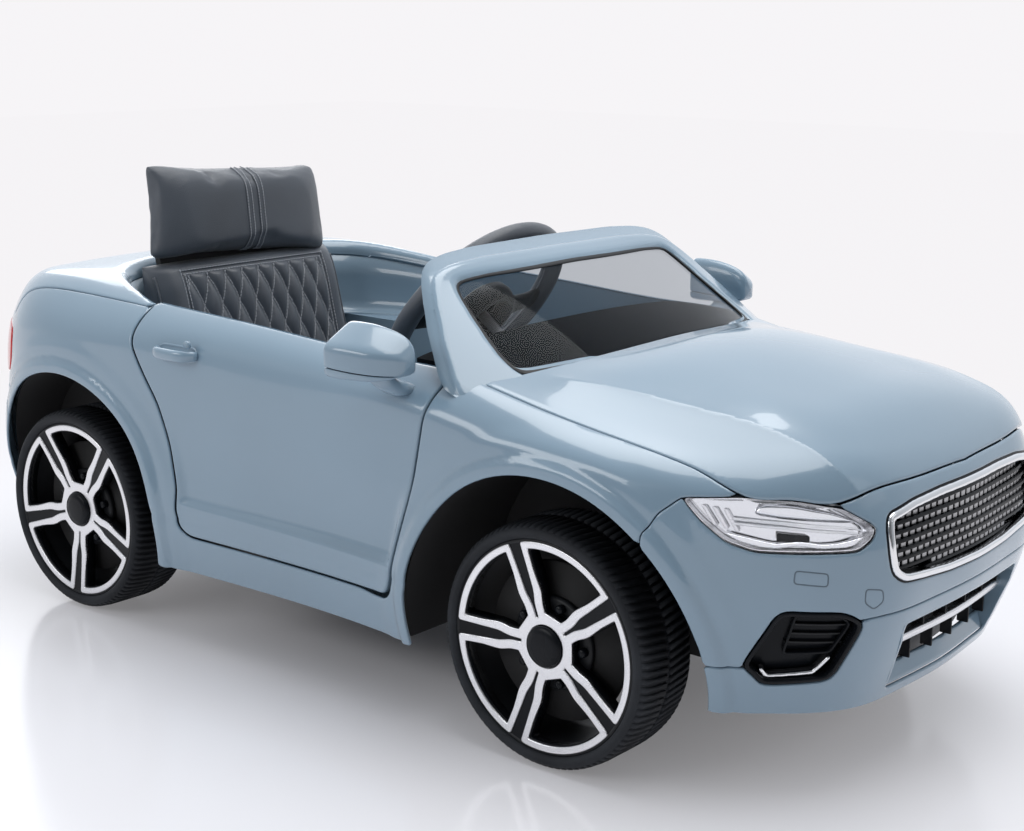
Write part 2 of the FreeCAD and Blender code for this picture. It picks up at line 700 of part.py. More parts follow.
def intake_insert():
    """Black lower intake with a bright bar and upright fins."""
    outside = front_prism(INTAKE).common(seat_hull)
    tray = outside.common(block(HALF_LENGTH - 70, FAR, -FAR, FAR, 0, FAR))
    tray = tray.cut(front_prism(INTAKE, -3).common(block(HALF_LENGTH - 67, FAR, -FAR, FAR, 0, FAR)))
    fins = [block(HALF_LENGTH - 68, HALF_LENGTH - 34, y - 1.5, y + 1.5, 130, 166) for y in range(-80, 81, 40)]
    fins = [fin.common(front_prism(INTAKE, -2)) for fin in fins]
    return tray.multiFuse(fins)


keep_shape("grille_frame", grille_frame())
keep_shape("grille_bars", grille_bars())
keep_shape("intake_insert", intake_insert())


# Windscreen: a ruled sheet from the arc along its foot to the arc of its top rail.
def arc_strip(foot_x, side_x, half, z, thickness):
    front = Part.Arc(Vector(side_x, -half, z), Vector(foot_x, 0, z), Vector(side_x, half, z)).toShape()
    back = Part.Arc(Vector(side_x - thickness, half, z), Vector(foot_x - thickness, 0, z),
                    Vector(side_x - thickness, -half, z)).toShape()
    ends = [Part.makeLine(a.lastVertex().Point, b.firstVertex().Point) for a, b in ((front, back), (back, front))]
    return Part.Wire([front, ends[0], back, ends[1]])


FRAME_FOOT_Z, FRAME_TOP_Z = 330, 457
FRAME_FOOT = (370, 234, 283)
FRAME_TOP = (120, 115, 207.6)
FRAME_OUTLINE = ((0, 457.5), (120, 456), (165, 453.5), (190, 449.5), (206, 442.5), (218, 431), (228, 418), (241, 404),
                 (340, 404), (340, 290), (0, 290))


def sloped_sheet(thickness, set_back, draw_in):
    rails = []
    for (middle, side, half), z in ((FRAME_FOOT, FRAME_FOOT_Z), (FRAME_TOP, FRAME_TOP_Z)):
        x = CABIN_X - set_back
        rails.append(arc_strip(x + middle, x + side, half - draw_in, z, thickness))
    return Part.makeLoft(rails, True, True)


SCREEN_OPENING = ((0, 370), (140, 366), (204, 361), (210, 372), (201, 400), (191, 428), (181, 437), (140, 440), (0, 442))


def screen_prism(half_outline, grow=0):
    points = [Vector(CABIN_X, -y, z) for y, z in half_outline]
    points += [Vector(CABIN_X, y, z) for y, z in reversed(half_outline) if y]
    return prism(points, Vector(FAR, 0, 0), grow)


def windscreen_frame():
    """Frame with rounded upper corners, standing on the body."""
    frame = sloped_sheet(at("frame_thickness"), 0, 0).common(screen_prism(FRAME_OUTLINE))
    return frame.cut(screen_prism(SCREEN_OPENING)).cut(hull(-0.3))


def windscreen():
    glass = sloped_sheet(at("screen_thickness"), at("frame_thickness / 2"), 0)
    return glass.common(screen_prism(SCREEN_OPENING, -at("seat_gap"))).cut(hull(-0.3))


keep_shape("windscreen_frame", windscreen_frame())
keep_shape("windscreen", windscreen())


def column_bore(radius, start, end):
    """Bore along the steering column, start and end measured from the steering wheel's centre."""
    slope = math.radians(at("column_slope"))
    centre = Vector(CABIN_X + at("steering_x"), 0, at("steering_z"))
    axis = Vector(math.cos(slope), 0, -math.sin(slope))
    return Part.makeCylinder(radius, end - start, centre + axis * start, axis)


START_Y, ROCKER_Y, SWITCH_Z = -120, 120, 300


def dashboard():
    """Dashboard face and the top that runs under the windscreen."""
    face, low = CABIN_X + at("dash_face"), at("dash_bottom + seat_gap")
    half = TUB_HALF - at("tub_wall + seat_gap")
    top = hull(at("1 + seat_gap"))
    shell = block(face, CABIN_X + 320, -half, half, low, TOP).cut(block(face + 5, FAR, -FAR, FAR, low - 9, 345))
    shell = shell.common(top).cut(hood_zone_grown)
    start = Part.makeCylinder(at("start_radius + button_gap"), 40, Vector(face - 5, START_Y, SWITCH_Z), Vector(1, 0, 0))
    rocker = block(face - 5, face + 30, ROCKER_Y - 8.4, ROCKER_Y + 8.4, SWITCH_Z - at("rocker_length / 2 + 1.5"),
                   SWITCH_Z + at("rocker_length / 2 + 1.5"))
    return shell.cut(start).cut(rocker).cut(column_bore(at("column_radius + button_gap"), 0, 320))


keep_shape("dashboard", dashboard())


# Floor pan, wheel liners and what the floor carries.
def floor_pan():
    """Plate between the wheels with two lugs for the rear axle."""
    low, top = at("floor_height"), at(FLOOR_TOP)
    spine = at("front_liner_inner - seat_gap")
    rear = at("rear_liner_inner - seat_gap")
    gap = at(LINER_OUTER + " + seat_gap")
    front_x, rear_x = AXLES
    plate = block(-HALF_LENGTH, HALF_LENGTH - 90, -spine, spine, low, top)
    plate = plate.fuse(block(rear_x + gap, front_x - gap, -HALF_WIDTH, HALF_WIDTH, low, top))
    plate = plate.fuse(block(-HALF_LENGTH, rear_x + gap, -rear, rear, low, top)).common(hull(at("skin + 4")))
    lug_reach = at("axle_radius + 9")
    for y in (-70, 55):
        plate = plate.fuse(block(rear_x - 15, rear_x + 15, y, y + 15, top - 1, at("tyre_radius") + lug_reach))
    return plate.removeSplitter().cut(across_cylinder(rear_x, at("tyre_radius"), at("axle_radius + fixed_fit")))


def wheel_liner(x, inside, window):
    """Half drum over a right wheel with its inner wall."""
    low = at("floor_height + 1")
    drum = across_cylinder(x, ARCH_Z, at(LINER_OUTER)).cut(across_cylinder(x, ARCH_Z, at("arch_radius + liner_gap")))
    wall = across_cylinder(x, ARCH_Z, at(LINER_OUTER)).common(
        block(-FAR, FAR, -inside - at("liner_wall"), -inside, 0, FAR)).cut(window)
    room = block(-FAR, FAR, -FAR, -inside, low, FAR)
    return drum.fuse(wall).common(room).common(seat_hull)


keep_shape("floor_pan", floor_pan())
FRONT_X, REAR_X = AXLES
front_window = block(FRONT_X - 75, FRONT_X + 40, -FAR, FAR, 0, at("tyre_radius + 48"))
front_liner = wheel_liner(FRONT_X, at("front_liner_inner"), front_window)
keep_shape("front_wheel_liners", Part.makeCompound(both(front_liner)))
rear_window = across_cylinder(REAR_X, at("tyre_radius"), at("axle_radius + 4"))
rear_liner = wheel_liner(REAR_X, at("rear_liner_inner"), rear_window)
keep_shape("rear_wheel_liners", Part.makeCompound(both(rear_liner)))


# Steering gear.
KNUCKLE_LOW = "(tyre_radius - knuckle_height / 2)"
KNUCKLE_TOP = "(tyre_radius + knuckle_height / 2)"


def front_axle_beam():
    """Beam across the floor with two lugs for each kingpin and the column's lower bearing."""
    bar = box("beam_bar", FRONT_AXLE + " - 15", "-kingpin_offset + 20", FLOOR_TOP, 30, "2 * kingpin_offset - 40", 12)
    parts = [bar]
    for name, side in (("right", -1), ("left", 1)):
        web_y = "%d * (kingpin_offset - 25) - 5" % side
        parts.append(box("beam_web_" + name, FRONT_AXLE + " - 15", web_y, KNUCKLE_LOW + " - seat_gap - ear_thickness",
                         30, 10, "knuckle_height + 2 * seat_gap + 2 * ear_thickness"))
        for level, z in (("lower", KNUCKLE_LOW + " - seat_gap - ear_thickness"), ("upper", KNUCKLE_TOP + " + seat_gap")):
            ear_y = "%d * (kingpin_offset - 13) - 13" % side
            parts.append(box("beam_ear_%s_%s" % (level, name), FRONT_AXLE + " - 13", ear_y, z, 26, 26, "ear_thickness"))
            parts.append(cylinder("beam_end_%s_%s" % (level, name), 13, "ear_thickness", FRONT_AXLE,
                                  "%d * kingpin_offset" % side, z))
    parts.append(box("column_block", FRONT_AXLE + " - 14", -14, FLOOR_TOP + " + 11", 28, 28, 40))
    holes = [cylinder("kingpin_hole_" + name, "kingpin_radius + fixed_fit", 400, FRONT_AXLE,
                      "%d * kingpin_offset" % side, 0) for name, side in (("right", -1), ("left", 1))]
    holes.append(feature("column_hole", column_bore(at("column_radius + running_fit"), 0, 460)))
    return cut("front_axle_beam", fuse("beam_parts", *parts), *holes)


def knuckle():
    """Right steering knuckle: barrel, wheel spindle and steering arm with its pin."""
    y = "-kingpin_offset"
    barrel = cylinder("knuckle_barrel", "knuckle_radius", "knuckle_height", FRONT_AXLE, y, KNUCKLE_LOW)
    spindle = cylinder("knuckle_spindle", "axle_radius", "wheel_face - kingpin_offset - 14", FRONT_AXLE,
                       "-wheel_face + 6", "tyre_radius", "y")
    arm = box("knuckle_arm", ROD_X + " - 7", y + " - 6", KNUCKLE_LOW + " + 0.5", "steer_arm + 7", 12, 6)
    pin = cylinder("knuckle_pin", "rod_pin_radius", "rod_thickness + 9", ROD_X, y, KNUCKLE_LOW + " + 1")
    bore = cylinder("knuckle_bore", "kingpin_radius + running_fit", 400, FRONT_AXLE, y, 0)
    return cut("knuckle_right", fuse("knuckle_parts", barrel, spindle, arm, pin), bore)


def tie_rod():
    """Track rod with slotted eyes and the fork that the column's crank moves."""
    bar = box("rod_bar", ROD_X + " - 5", "-kingpin_offset", "rod_height", 10, "2 * kingpin_offset", "rod_thickness")
    parts, slots = [bar], []
    for name, side in (("right", -1), ("left", 1)):
        y = "%d * kingpin_offset" % side
        parts.append(box("rod_eye_" + name, ROD_X + " - 10", y + " - 10", "rod_height", 23, 20, "rod_thickness"))
        slots.append(box("rod_slot_" + name, ROD_X + " - rod_pin_radius - 0.4", y + " - rod_pin_radius - 0.4",
                         "rod_height - 5", "2 * rod_pin_radius + 4.2", "2 * rod_pin_radius + 0.8", 20))
        fork_y = {"right": "-crank_pin_radius - fork_clearance - 4", "left": "crank_pin_radius + fork_clearance"}[name]
        parts.append(box("rod_fork_" + name, ROD_X + " - 9", fork_y, "rod_height", 20, 4,
                         CRANK_PIN_Z + " + 4.5 - rod_height"))
    return cut("tie_rod", fuse("rod_parts", *parts), *slots)


def at_steering(obj):
    """Set a piece drawn about the Z axis on the steering column, Z towards the driver."""
    return place(obj, CABIN + " + steering_x", 0, "steering_z", (0, -1, 0), TILT)


def steering_column():
    end = FRONT_AXLE + " + 12 - " + CABIN + " - steering_x"
    length = "((%s) / cos(column_slope))" % end
    rod = cylinder("column_rod", "column_radius", length + " - 9", 0, 0, "-" + length)
    shank = box("column_shank", "-crank", -3, "-" + CRANK_AT + " - 4", "crank", 6, 8)
    knob = cylinder("column_knob", "crank_pin_radius", 8, "-crank", 0, "-" + CRANK_AT + " - 4")
    return at_steering(fuse("steering_column", rod, shank, knob))


def steering_wheel():
    rim = doc.addObject("Part::Torus", "wheel_grip")
    bind(rim, Radius1="steering_radius", Radius2="grip_radius")
    hub = cylinder("wheel_hub", "hub_radius", 30, 0, 0, -25)
    spoke = box("wheel_spokes", -13, "-steering_radius", -14, 26, "2 * steering_radius", 11)
    lower = box("wheel_lower_spoke", "-steering_radius", -12, -14, "steering_radius", 24, 11)
    recess = cylinder("wheel_recess", "horn_radius + button_gap", 30, 0, 0, -6)
    bore = cylinder("wheel_bore", "column_radius + fixed_fit", 30, 0, 0, -38.5)
    return at_steering(cut("steering_wheel", fuse("wheel_parts", rim, hub, spoke, lower), recess, bore))


def polygon_sketch(body, name, role, points):
    """Closed sketch whose corners are bound to the sheet."""
    sketch = body.newObject("Sketcher::SketchObject", name)
    plane = next(origin for origin in body.Origin.OriginFeatures if origin.Role == role)
    sketch.AttachmentSupport = [(plane, "")]
    sketch.MapMode = "FlatFace"
    corners = [Vector(at(x), at(y), 0) for x, y in points]
    count = len(corners)
    for index in range(count):
        sketch.addGeometry(Part.LineSegment(corners[index], corners[(index + 1) % count]), False)
    for index in range(count):
        sketch.addConstraint(Sketcher.Constraint("Coincident", index, 2, (index + 1) % count, 1))
    for index, pair in enumerate(points):
        for kind, axis, text in zip(("DistanceX", "DistanceY"), (-2, -1), pair):
            if str(text) == "0":
                sketch.addConstraint(Sketcher.Constraint("PointOnObject", index, 1, axis))
                continue
            number = sketch.addConstraint(Sketcher.Constraint(kind, -1, 1, index, 1, at(text)))
            sketch.setExpression("Constraints[%d]" % number, bound(text))
    return sketch


def turned_body(label, points, axis="V_Axis", role="XY_Plane"):
    """Body turned about an axis of its sketch."""
    body = doc.addObject("PartDesign::Body", label)
    sketch = polygon_sketch(body, label + "_profile", role, points)
    turn = body.newObject("PartDesign::Revolution", label + "_turn")
    turn.Profile = sketch
    turn.ReferenceAxis = (sketch, [axis])
    turn.Angle = 360
    return body, sketch


def horn_button():
    """Domed button turned about the column."""
    profile = (("0", "-horn_travel + 0.5"), ("horn_radius", "-horn_travel + 0.5"), ("horn_radius", "4"),
               ("horn_radius - 6", "7"), ("0", "9"))
    body, sketch = turned_body("horn_button", profile, "V_Axis", "XZ_Plane")
    return at_steering(body)


KINGPIN_REACH = "(knuckle_height + 2 * seat_gap + 2 * ear_thickness)"


def pivot_pins():
    """Kingpins, pedal pin and door hinge pins, each its own solid."""
    low = at(KNUCKLE_LOW + " - seat_gap - ear_thickness")
    pins = hinge_pins()
    for y in (-at("kingpin_offset"), at("kingpin_offset")):
        pins.append(Part.makeCylinder(at("kingpin_radius"), at(KINGPIN_REACH), Vector(FRONT_X, y, low)))
    half = at("pedal_width / 2 + 6")
    start = Vector(CABIN_X + at("pedal_x"), at("pedal_y") - half, at(FLOOR_TOP + " + tub_wall") + 12)
    pins.append(Part.makeCylinder(at("pedal_pin_radius"), 2 * half, start, Vector(0, 1, 0)))
    return Part.makeCompound(pins)


keep(front_axle_beam(), "front_axle_beam")
knuckle_right = keep(knuckle(), "knuckle_right")
left_twin(knuckle_right, "knuckle_left")
keep(tie_rod(), "tie_rod")
keep(steering_column(), "steering_column")
keep(steering_wheel(), "steering_wheel")
keep(horn_button(), "horn_button")
keep_shape("pivot_pins", pivot_pins())


# Wheels: a soft tyre on a five-spoke rim, drawn about Y with the outer face towards +Y.
RIM_BORE = "axle_radius + running_fit"
TYRE_PROFILE = (
    ("rim_radius + fixed_fit", "-tyre_width / 2 + 3"), ("rim_radius + 7", "-tyre_width / 2"),
    ("tyre_radius - 3", "-tyre_width / 2 + 5"), ("tyre_radius", "-tyre_width / 2 + 13"),
    ("tyre_radius", "tyre_width / 2 - 13"), ("tyre_radius - 3", "tyre_width / 2 - 5"),
    ("rim_radius + 7", "tyre_width / 2"), ("rim_radius + fixed_fit", "tyre_width / 2 - 3"),
)
RIM_PROFILE = (
    (RIM_BORE, "-tyre_width / 2 + 8"), ("18", "-tyre_width / 2 + 8"), ("18", "10"), ("60", "13"),
    ("rim_radius - 7", "19"), ("rim_radius - 7", "-tyre_width / 2 + 3"), ("rim_radius", "-tyre_width / 2 + 3"),
    ("rim_radius", "tyre_width / 2 - 3"), ("rim_radius - 6", "tyre_width / 2 - 3"), ("60", "tyre_width / 2 - 13"),
    ("23", "tyre_width / 2 - 17"), (RIM_BORE, "tyre_width / 2 - 17"),
)
SPOKE_WINDOW = (
    ("30", "-7"), ("rim_radius - 21", "-42"), ("rim_radius - 11", "-20"), ("rim_radius - 9", "0"),
    ("rim_radius - 11", "20"), ("rim_radius - 21", "42"), ("30", "7"),
)
SPOKES = 5


def tyre(label):
    body, sketch = turned_body(label, TYRE_PROFILE)
    return body


def rim(label):
    body, sketch = turned_body(label, RIM_PROFILE)
    window = polygon_sketch(body, label + "_window", "XZ_Plane", SPOKE_WINDOW)
    pocket = body.newObject("PartDesign::Pocket", label + "_pocket")
    pocket.Profile = window
    pocket.SideType = "Symmetric"
    pocket.Length = 200
    pattern = body.newObject("PartDesign::PolarPattern", label + "_pattern")
    pattern.Originals = [pocket]
    pattern.Axis = (sketch, ["V_Axis"])
    pattern.Angle = 360
    pattern.Occurrences = SPOKES
    body.Tip = pattern
    return body


for end, axle in (("front", FRONT_AXLE), ("rear", REAR_AXLE)):
    for hand, side in (("right", -1), ("left", 1)):
        for make, name in ((tyre, "tyre"), (rim, "rim")):
            label = "%s_%s_%s" % (end, hand, name)
            wheel_piece = keep(make(label), label)
            turned = 180 if side < 0 else 0
            place(wheel_piece, axle, "%d * %s" % (side, WHEEL_Y), "tyre_radius", (0, 0, 1), turned)


# Drive: axle, gearboxes, motors and battery under the seat.
def rear_axle():
    """Axle whose turned-down ends stand out of the wheels for their push caps."""
    reach = "(wheel_face - 16)"
    shaft = cylinder("axle_shaft", "axle_radius", "2 * " + reach, REAR_AXLE, "-" + reach, "tyre_radius", "y")
    tips = cylinder("axle_tips", "axle_radius - 1", "2 * %s + 18" % reach, REAR_AXLE, "-%s - 9" % reach, "tyre_radius", "y")
    return fuse("rear_axle", shaft, tips)


def gearbox():
    """Right gearbox: a case on the axle with the motor's seat."""
    y = "-rear_liner_inner + 1"
    case = box("gearbox_case", REAR_AXLE + " - 34", y, FLOOR_TOP, 112, "gearbox_width", 58)
    drum = cylinder("gearbox_drum", 34, "gearbox_width", REAR_AXLE, y, "tyre_radius + 14", "y")
    bore = cylinder("gearbox_bore", "axle_radius + 0.3", "gearbox_width + 20", REAR_AXLE, y + " - 10", "tyre_radius", "y")
    return cut("gearbox_right", fuse("gearbox_parts", case, drum), bore)


def motor():
    """Right drive motor: a can with its nose boss on the gearbox."""
    y = "-rear_liner_inner + 1 + gearbox_width"
    x, z = REAR_AXLE + " + 52", FLOOR_TOP + " + 29"
    can = cylinder("motor_can", "motor_radius", "motor_length", x, y, z, "y")
    cap = cylinder("motor_cap", "motor_radius / 3", "motor_length + 6", x, y, z, "y")
    return fuse("motor_right", can, cap)


keep(rear_axle(), "rear_axle")
gearbox_right = keep(gearbox(), "gearbox_right")
left_twin(gearbox_right, "gearbox_left")
motor_right = motor()
motor_left = doc.addObject("Part::Mirroring", "motor_left")
motor_left.Source = motor_right
motor_left.Normal = Vector(0, 1, 0)
drive_motors = doc.addObject("Part::Compound", "drive_motors")
drive_motors.Links = [motor_right, motor_left]
keep(drive_motors, "drive_motors")
battery = box("battery_case", CABIN + " - seat_front - 108", -75, FLOOR_TOP, 98, 150, 64)
battery_top = box("battery_terminals", CABIN + " - seat_front - 100", -50, FLOOR_TOP + " + 60", 16, 100, 12)
keep(fuse("battery", battery, battery_top), "battery")


# Pedal and dashboard switches.
def pedal():
    barrel = cylinder("pedal_barrel", 7, "pedal_width", 0, "-pedal_width / 2", 0, "y")
    plate = box("pedal_plate", 0, "-pedal_width / 2", -1, "pedal_length", "pedal_width", 7)
    bore = cylinder("pedal_bore", "pedal_pin_radius + running_fit", 200, 0, -100, 0, "y")
    shape = cut("accelerator_pedal", fuse("pedal_parts", barrel, plate), bore)
    return place(shape, CABIN + " + pedal_x", "pedal_y", FLOOR_TOP + " + tub_wall + 12", (0, -1, 0), "pedal_slope")


def start_button():
    """Round push button in the dashboard."""
    profile = (("0", "5.5"), ("start_radius", "5.5"), ("start_radius", "-3"), ("start_radius - 2", "-5"), ("0", "-5"))
    body, sketch = turned_body("start_button", profile, "V_Axis", "XZ_Plane")
    return place(body, CABIN + " + dash_face", START_Y, SWITCH_Z, (0, 1, 0), 90)


def direction_rocker():
    """Forward and reverse rocker on a pivot inside the dashboard."""
    pad = box("rocker_pad", "-6", -8, "-rocker_length / 2", 8, 16, "rocker_length")
    hub = cylinder("rocker_hub", 5, 16, 2, -8, 0, "y")
    return place(fuse("direction_rocker", pad, hub), CABIN + " + dash_face", ROCKER_Y, SWITCH_Z)


keep(pedal(), "accelerator_pedal")
keep(start_button(), "start_button")
keep(direction_rocker(), "direction_rocker")


# Door furniture on the right door.
# Mirror pod from its flat back to its nose: x from the cabin middle, half height, half width.
MIRROR_RINGS = ((100, 27, 22), (118, 31, 25), (145, 31, 27), (175, 25, 22), (196, 13, 12), (205, 4, 3.5))


def mirror():
    """Mirror pod with a flat back and a foot on the door."""
    y, z = -HALF_WIDTH - 27, 381
    rings = []
    for x, tall, wide in MIRROR_RINGS:
        ring = Part.Ellipse(Vector(CABIN_X + x, y, z + tall), Vector(CABIN_X + x, y + wide, z), Vector(CABIN_X + x, y, z))
        rings.append(Part.Wire(ring.toShape()))
    pod = Part.makeLoft(rings, True, False)
    foot = block(CABIN_X + 138, CABIN_X + 172, y + 12, -HALF_WIDTH + 26, 330, z - 8)
    return pod.fuse(foot).cut(hull(-0.05))


def handle():
    """Pull bar with a finger gap behind it."""
    x, z, reach = CABIN_X - 174, 336, HALF_WIDTH + 12
    bar = block(x - 31, x + 31, -reach, -HALF_WIDTH + 30, z - 6, z + 6)
    finger_gap = block(x - 21, x + 21, -reach + 5, 0, z - 7, z + 7)
    return bar.cut(finger_gap).cut(hull(-0.05))


mirror_right = keep_shape("mirror_right", mirror())
left_twin(mirror_right, "mirror_left")
handle_right = keep_shape("handle_right", handle())
left_twin(handle_right, "handle_left")


# Seat: padded pieces with crowned fronts, thin drawn-in ends and sewn grooves.
def pad_section(y, thick, height):
    """Closed section of a pad across its width: flat back, crowned front, rounded top and bottom."""
    half, turn = height / 2, 0.16 * height
    back_low, back_high = Vector(0, y, -half + turn), Vector(0, y, half - turn)
    front_low, front_high = Vector(0.8 * thick, y, -half + turn), Vector(0.8 * thick, y, half - turn)
    return Part.Wire([
        Part.makeLine(back_low, back_high),
        Part.Arc(back_high, Vector(0.4 * thick, y, half), front_high).toShape(),
        Part.Arc(front_high, Vector(thick, y, 0), front_low).toShape(),
        Part.Arc(front_low, Vector(0.4 * thick, y, -half), back_low).toShape(),
    ])


def pad(width, height, thick, end_thick, waist):
    """Cushion loft: thick in the middle, thin at its ends, its height drawn in by waist between them."""
    rows = ((-0.5, 0, 0), (-0.46, 0.55, 0.15), (-0.3, 0.9, 0.8), (0, 1, 1), (0.3, 0.9, 0.8), (0.46, 0.55, 0.15),
            (0.5, 0, 0))
    sections = [pad_section(width * share, end_thick + (thick - end_thick) * swell, height - waist * drawn)
                for share, swell, drawn in rows]
    room = block(0, 2 * thick, -width, width, -height, height)
    return Part.makeLoft(sections, True, False).common(room)


def grooved(width, height, thick, end_thick, waist, slots, depth):
    """Cushion with sewn grooves where the slots meet its front."""
    body = pad(width, height, thick, end_thick, waist)
    core = pad(width + 40, height + 40, thick - depth, max(end_thick - depth, 2), waist)
    core = core.fuse(block(-50, 0.3 * thick, -width, width, -height, height))
    return body.cut(Part.makeCompound([slot.cut(core) for slot in slots]))


def upright_slot(y, thick, height, wide=2.4):
    return block(-1, 2 * thick, y - wide / 2, y + wide / 2, -height, height)


HEADREST = {"width": 284, "height": 116, "thick": 50, "end_thick": 16, "waist": 7}
BACKREST = {"width": 318, "height": 186, "thick": 48, "end_thick": 22, "waist": 4}
SEAT_PAD = {"width": 330, "height": 232, "thick": 46, "end_thick": 30, "waist": 3}
QUILT_HALF, QUILT_LOW, QUILT_HIGH, QUILT_STEP = 108, -82, 68, 27
SEAT_LEAN, HEADREST_LEAN = 14, 6


def quilt_slots(thick):
    """Crossing diagonal slots of tall diamonds inside a square panel."""
    tall = QUILT_HIGH - QUILT_LOW
    lean = math.degrees(math.atan2(2 * QUILT_STEP, tall))
    panel = block(-1, 2 * thick, -QUILT_HALF, QUILT_HALF, QUILT_LOW, QUILT_HIGH)
    slots = []
    count = int(QUILT_HALF / QUILT_STEP) + 1
    for turn in (-1, 1):
        for index in range(-count, count + 1):
            slot = block(-1, 2 * thick, -1.1, 1.1, -tall, tall)
            middle = Vector(0, index * QUILT_STEP, (QUILT_LOW + QUILT_HIGH) / 2)
            slot.Placement = Placement(middle, Rotation(Vector(1, 0, 0), turn * lean))
            slots.append(slot.common(panel))
    slots.append(block(-1, 2 * thick, -QUILT_HALF, QUILT_HALF, QUILT_HIGH, QUILT_HIGH + 2.2))
    return slots


def seat_back_pads():
    seat_top = at("seat_height + tub_wall + seat_gap")
    low = seat_top + SEAT_PAD["thick"] * 0.62
    lean = Rotation(Vector(0, -1, 0), SEAT_LEAN)
    up = lean.multVec(Vector(0, 0, 1))
    foot = Vector(TUB_REAR + 62, 0, low)
    back = grooved(**BACKREST, slots=quilt_slots(BACKREST["thick"]), depth=3)
    back.Placement = Placement(foot + up * (BACKREST["height"] / 2), lean)
    bands = [upright_slot(y, HEADREST["thick"], HEADREST["height"]) for y in (-32, -18, 18, 32)]
    head = grooved(**HEADREST, slots=bands, depth=3)
    upright = Rotation(Vector(0, -1, 0), HEADREST_LEAN)
    lift = upright.multVec(Vector(0, 0, HEADREST["height"] / 2))
    head.Placement = Placement(foot + up * (BACKREST["height"] + 0.8) + lift, upright)
    return back, head


def seat_cushion():
    seams = [upright_slot(y, SEAT_PAD["thick"], SEAT_PAD["height"]) for y in (-92, 92)]
    pad_shape = grooved(**SEAT_PAD, slots=seams, depth=3)
    middle = SEAT_X - 6 - SEAT_PAD["height"] / 2
    pad_shape.Placement = Placement(Vector(middle, 0, at("seat_height + tub_wall + seat_gap")),
                                    Rotation(Vector(0, 1, 0), -90))
    return pad_shape


back_pad, head_pad = seat_back_pads()
keep_shape("backrest", back_pad)
keep_shape("headrest", head_pad)
keep_shape("seat_cushion", seat_cushion())


def seat_board():
    """Board behind the backrest that carries both pads."""
    seat_top = at("seat_height + tub_wall + seat_gap")
    lean = Rotation(Vector(0, -1, 0), SEAT_LEAN)
    foot = Vector(TUB_REAR + 62, 0, seat_top + SEAT_PAD["thick"] * 0.62)
    tall = BACKREST["height"] + 0.3 * HEADREST["height"]
    half = HEADREST["width"] / 2 - 20
    board = block(-9, -0.4, -half, half, -70, tall)
    board.Placement = Placement(foot, lean)
    floor = block(-FAR, FAR, -FAR, FAR, 0, seat_top)
    return board.cut(floor)


keep_shape("seat_board", seat_board())

doc.recompute()
failed = [obj.Label for obj in doc.Objects if "Invalid" in obj.State or "Error" in obj.State]
if failed:
    raise RuntimeError("these objects failed: " + ", ".join(failed))
unsound = [obj.Label for obj in NODES
           if obj.Shape.isNull() or not obj.Shape.isValid() or not obj.Shape.Solids]
if unsound:
    raise RuntimeError("no sound solid in " + ", ".join(unsound))

os.makedirs("parts", exist_ok=True)
for obj in NODES:
    obj.Shape.exportStep("parts/%s.step" % obj.Label)
    print(obj.Label, len(obj.Shape.Solids), round(obj.Shape.Volume / 1000, 1))
print(len(NODES), "pieces")
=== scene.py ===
"""Electric ride-on car: its visible pieces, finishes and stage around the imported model."""
import math

import bmesh
import bpy
import numpy as np
from mathutils import Matrix, Vector
from mathutils.bvhtree import BVHTree


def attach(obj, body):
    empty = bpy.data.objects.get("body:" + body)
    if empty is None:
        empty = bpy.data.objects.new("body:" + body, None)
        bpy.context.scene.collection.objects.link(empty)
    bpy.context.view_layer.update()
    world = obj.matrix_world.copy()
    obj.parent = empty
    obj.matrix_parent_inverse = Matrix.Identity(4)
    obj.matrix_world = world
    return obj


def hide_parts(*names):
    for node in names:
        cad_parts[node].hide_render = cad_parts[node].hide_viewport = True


bl_info = {
    "name": "Ride-on car",
    "version": (1, 0, 0),
    "blender": (4, 5, 0),
    "location": "View3D > Sidebar > Ride-on car",
    "description": "Builds the body panels, wheels, seat and trim of a child's electric car",
    "category": "Object",
}

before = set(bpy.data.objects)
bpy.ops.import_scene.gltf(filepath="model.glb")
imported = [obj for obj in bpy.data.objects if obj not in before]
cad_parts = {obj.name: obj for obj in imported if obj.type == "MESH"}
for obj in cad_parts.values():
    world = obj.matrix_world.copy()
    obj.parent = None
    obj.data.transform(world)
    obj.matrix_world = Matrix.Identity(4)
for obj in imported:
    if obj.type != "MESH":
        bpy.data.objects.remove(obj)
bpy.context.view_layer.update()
MM = 0.001
HALF_LENGTH, HALF_WIDTH = 630.0, 288.0
FRONT_AXLE, REAR_AXLE, AXLE_HEIGHT = 328.0, -378.0, 120.0
ARCH_HEIGHT, ARCH_RADIUS = 125.0, 162.0
WHEELS = {"front_right": (FRONT_AXLE, -239.0), "front_left": (FRONT_AXLE, 239.0),
          "rear_right": (REAR_AXLE, -239.0), "rear_left": (REAR_AXLE, 239.0)}


# Sizes and colours that a user would change.

def colour_property(name, description, default):
    return bpy.props.FloatVectorProperty(name=name, description=description, default=default, size=3,
                                         subtype="COLOR", min=0, max=1)


class CarBodySettings(bpy.types.PropertyGroup):
    """Body panels and their paint."""
    paint: colour_property("Paint", "Colour of the body panels", (0.214, 0.312, 0.4))
    edge: bpy.props.FloatProperty(name="Panel edge", description="Rounding of panel edges, in millimetres",
                                  default=1.6, min=0.4, max=3)
    wall: bpy.props.FloatProperty(name="Panel wall", description="Thickness of the panels, in millimetres",
                                  default=3.2, min=2, max=5)
    flare: bpy.props.FloatProperty(name="Arch lip", description="Height of the lips round the wheels, in millimetres",
                                   default=4.6, min=0, max=6)


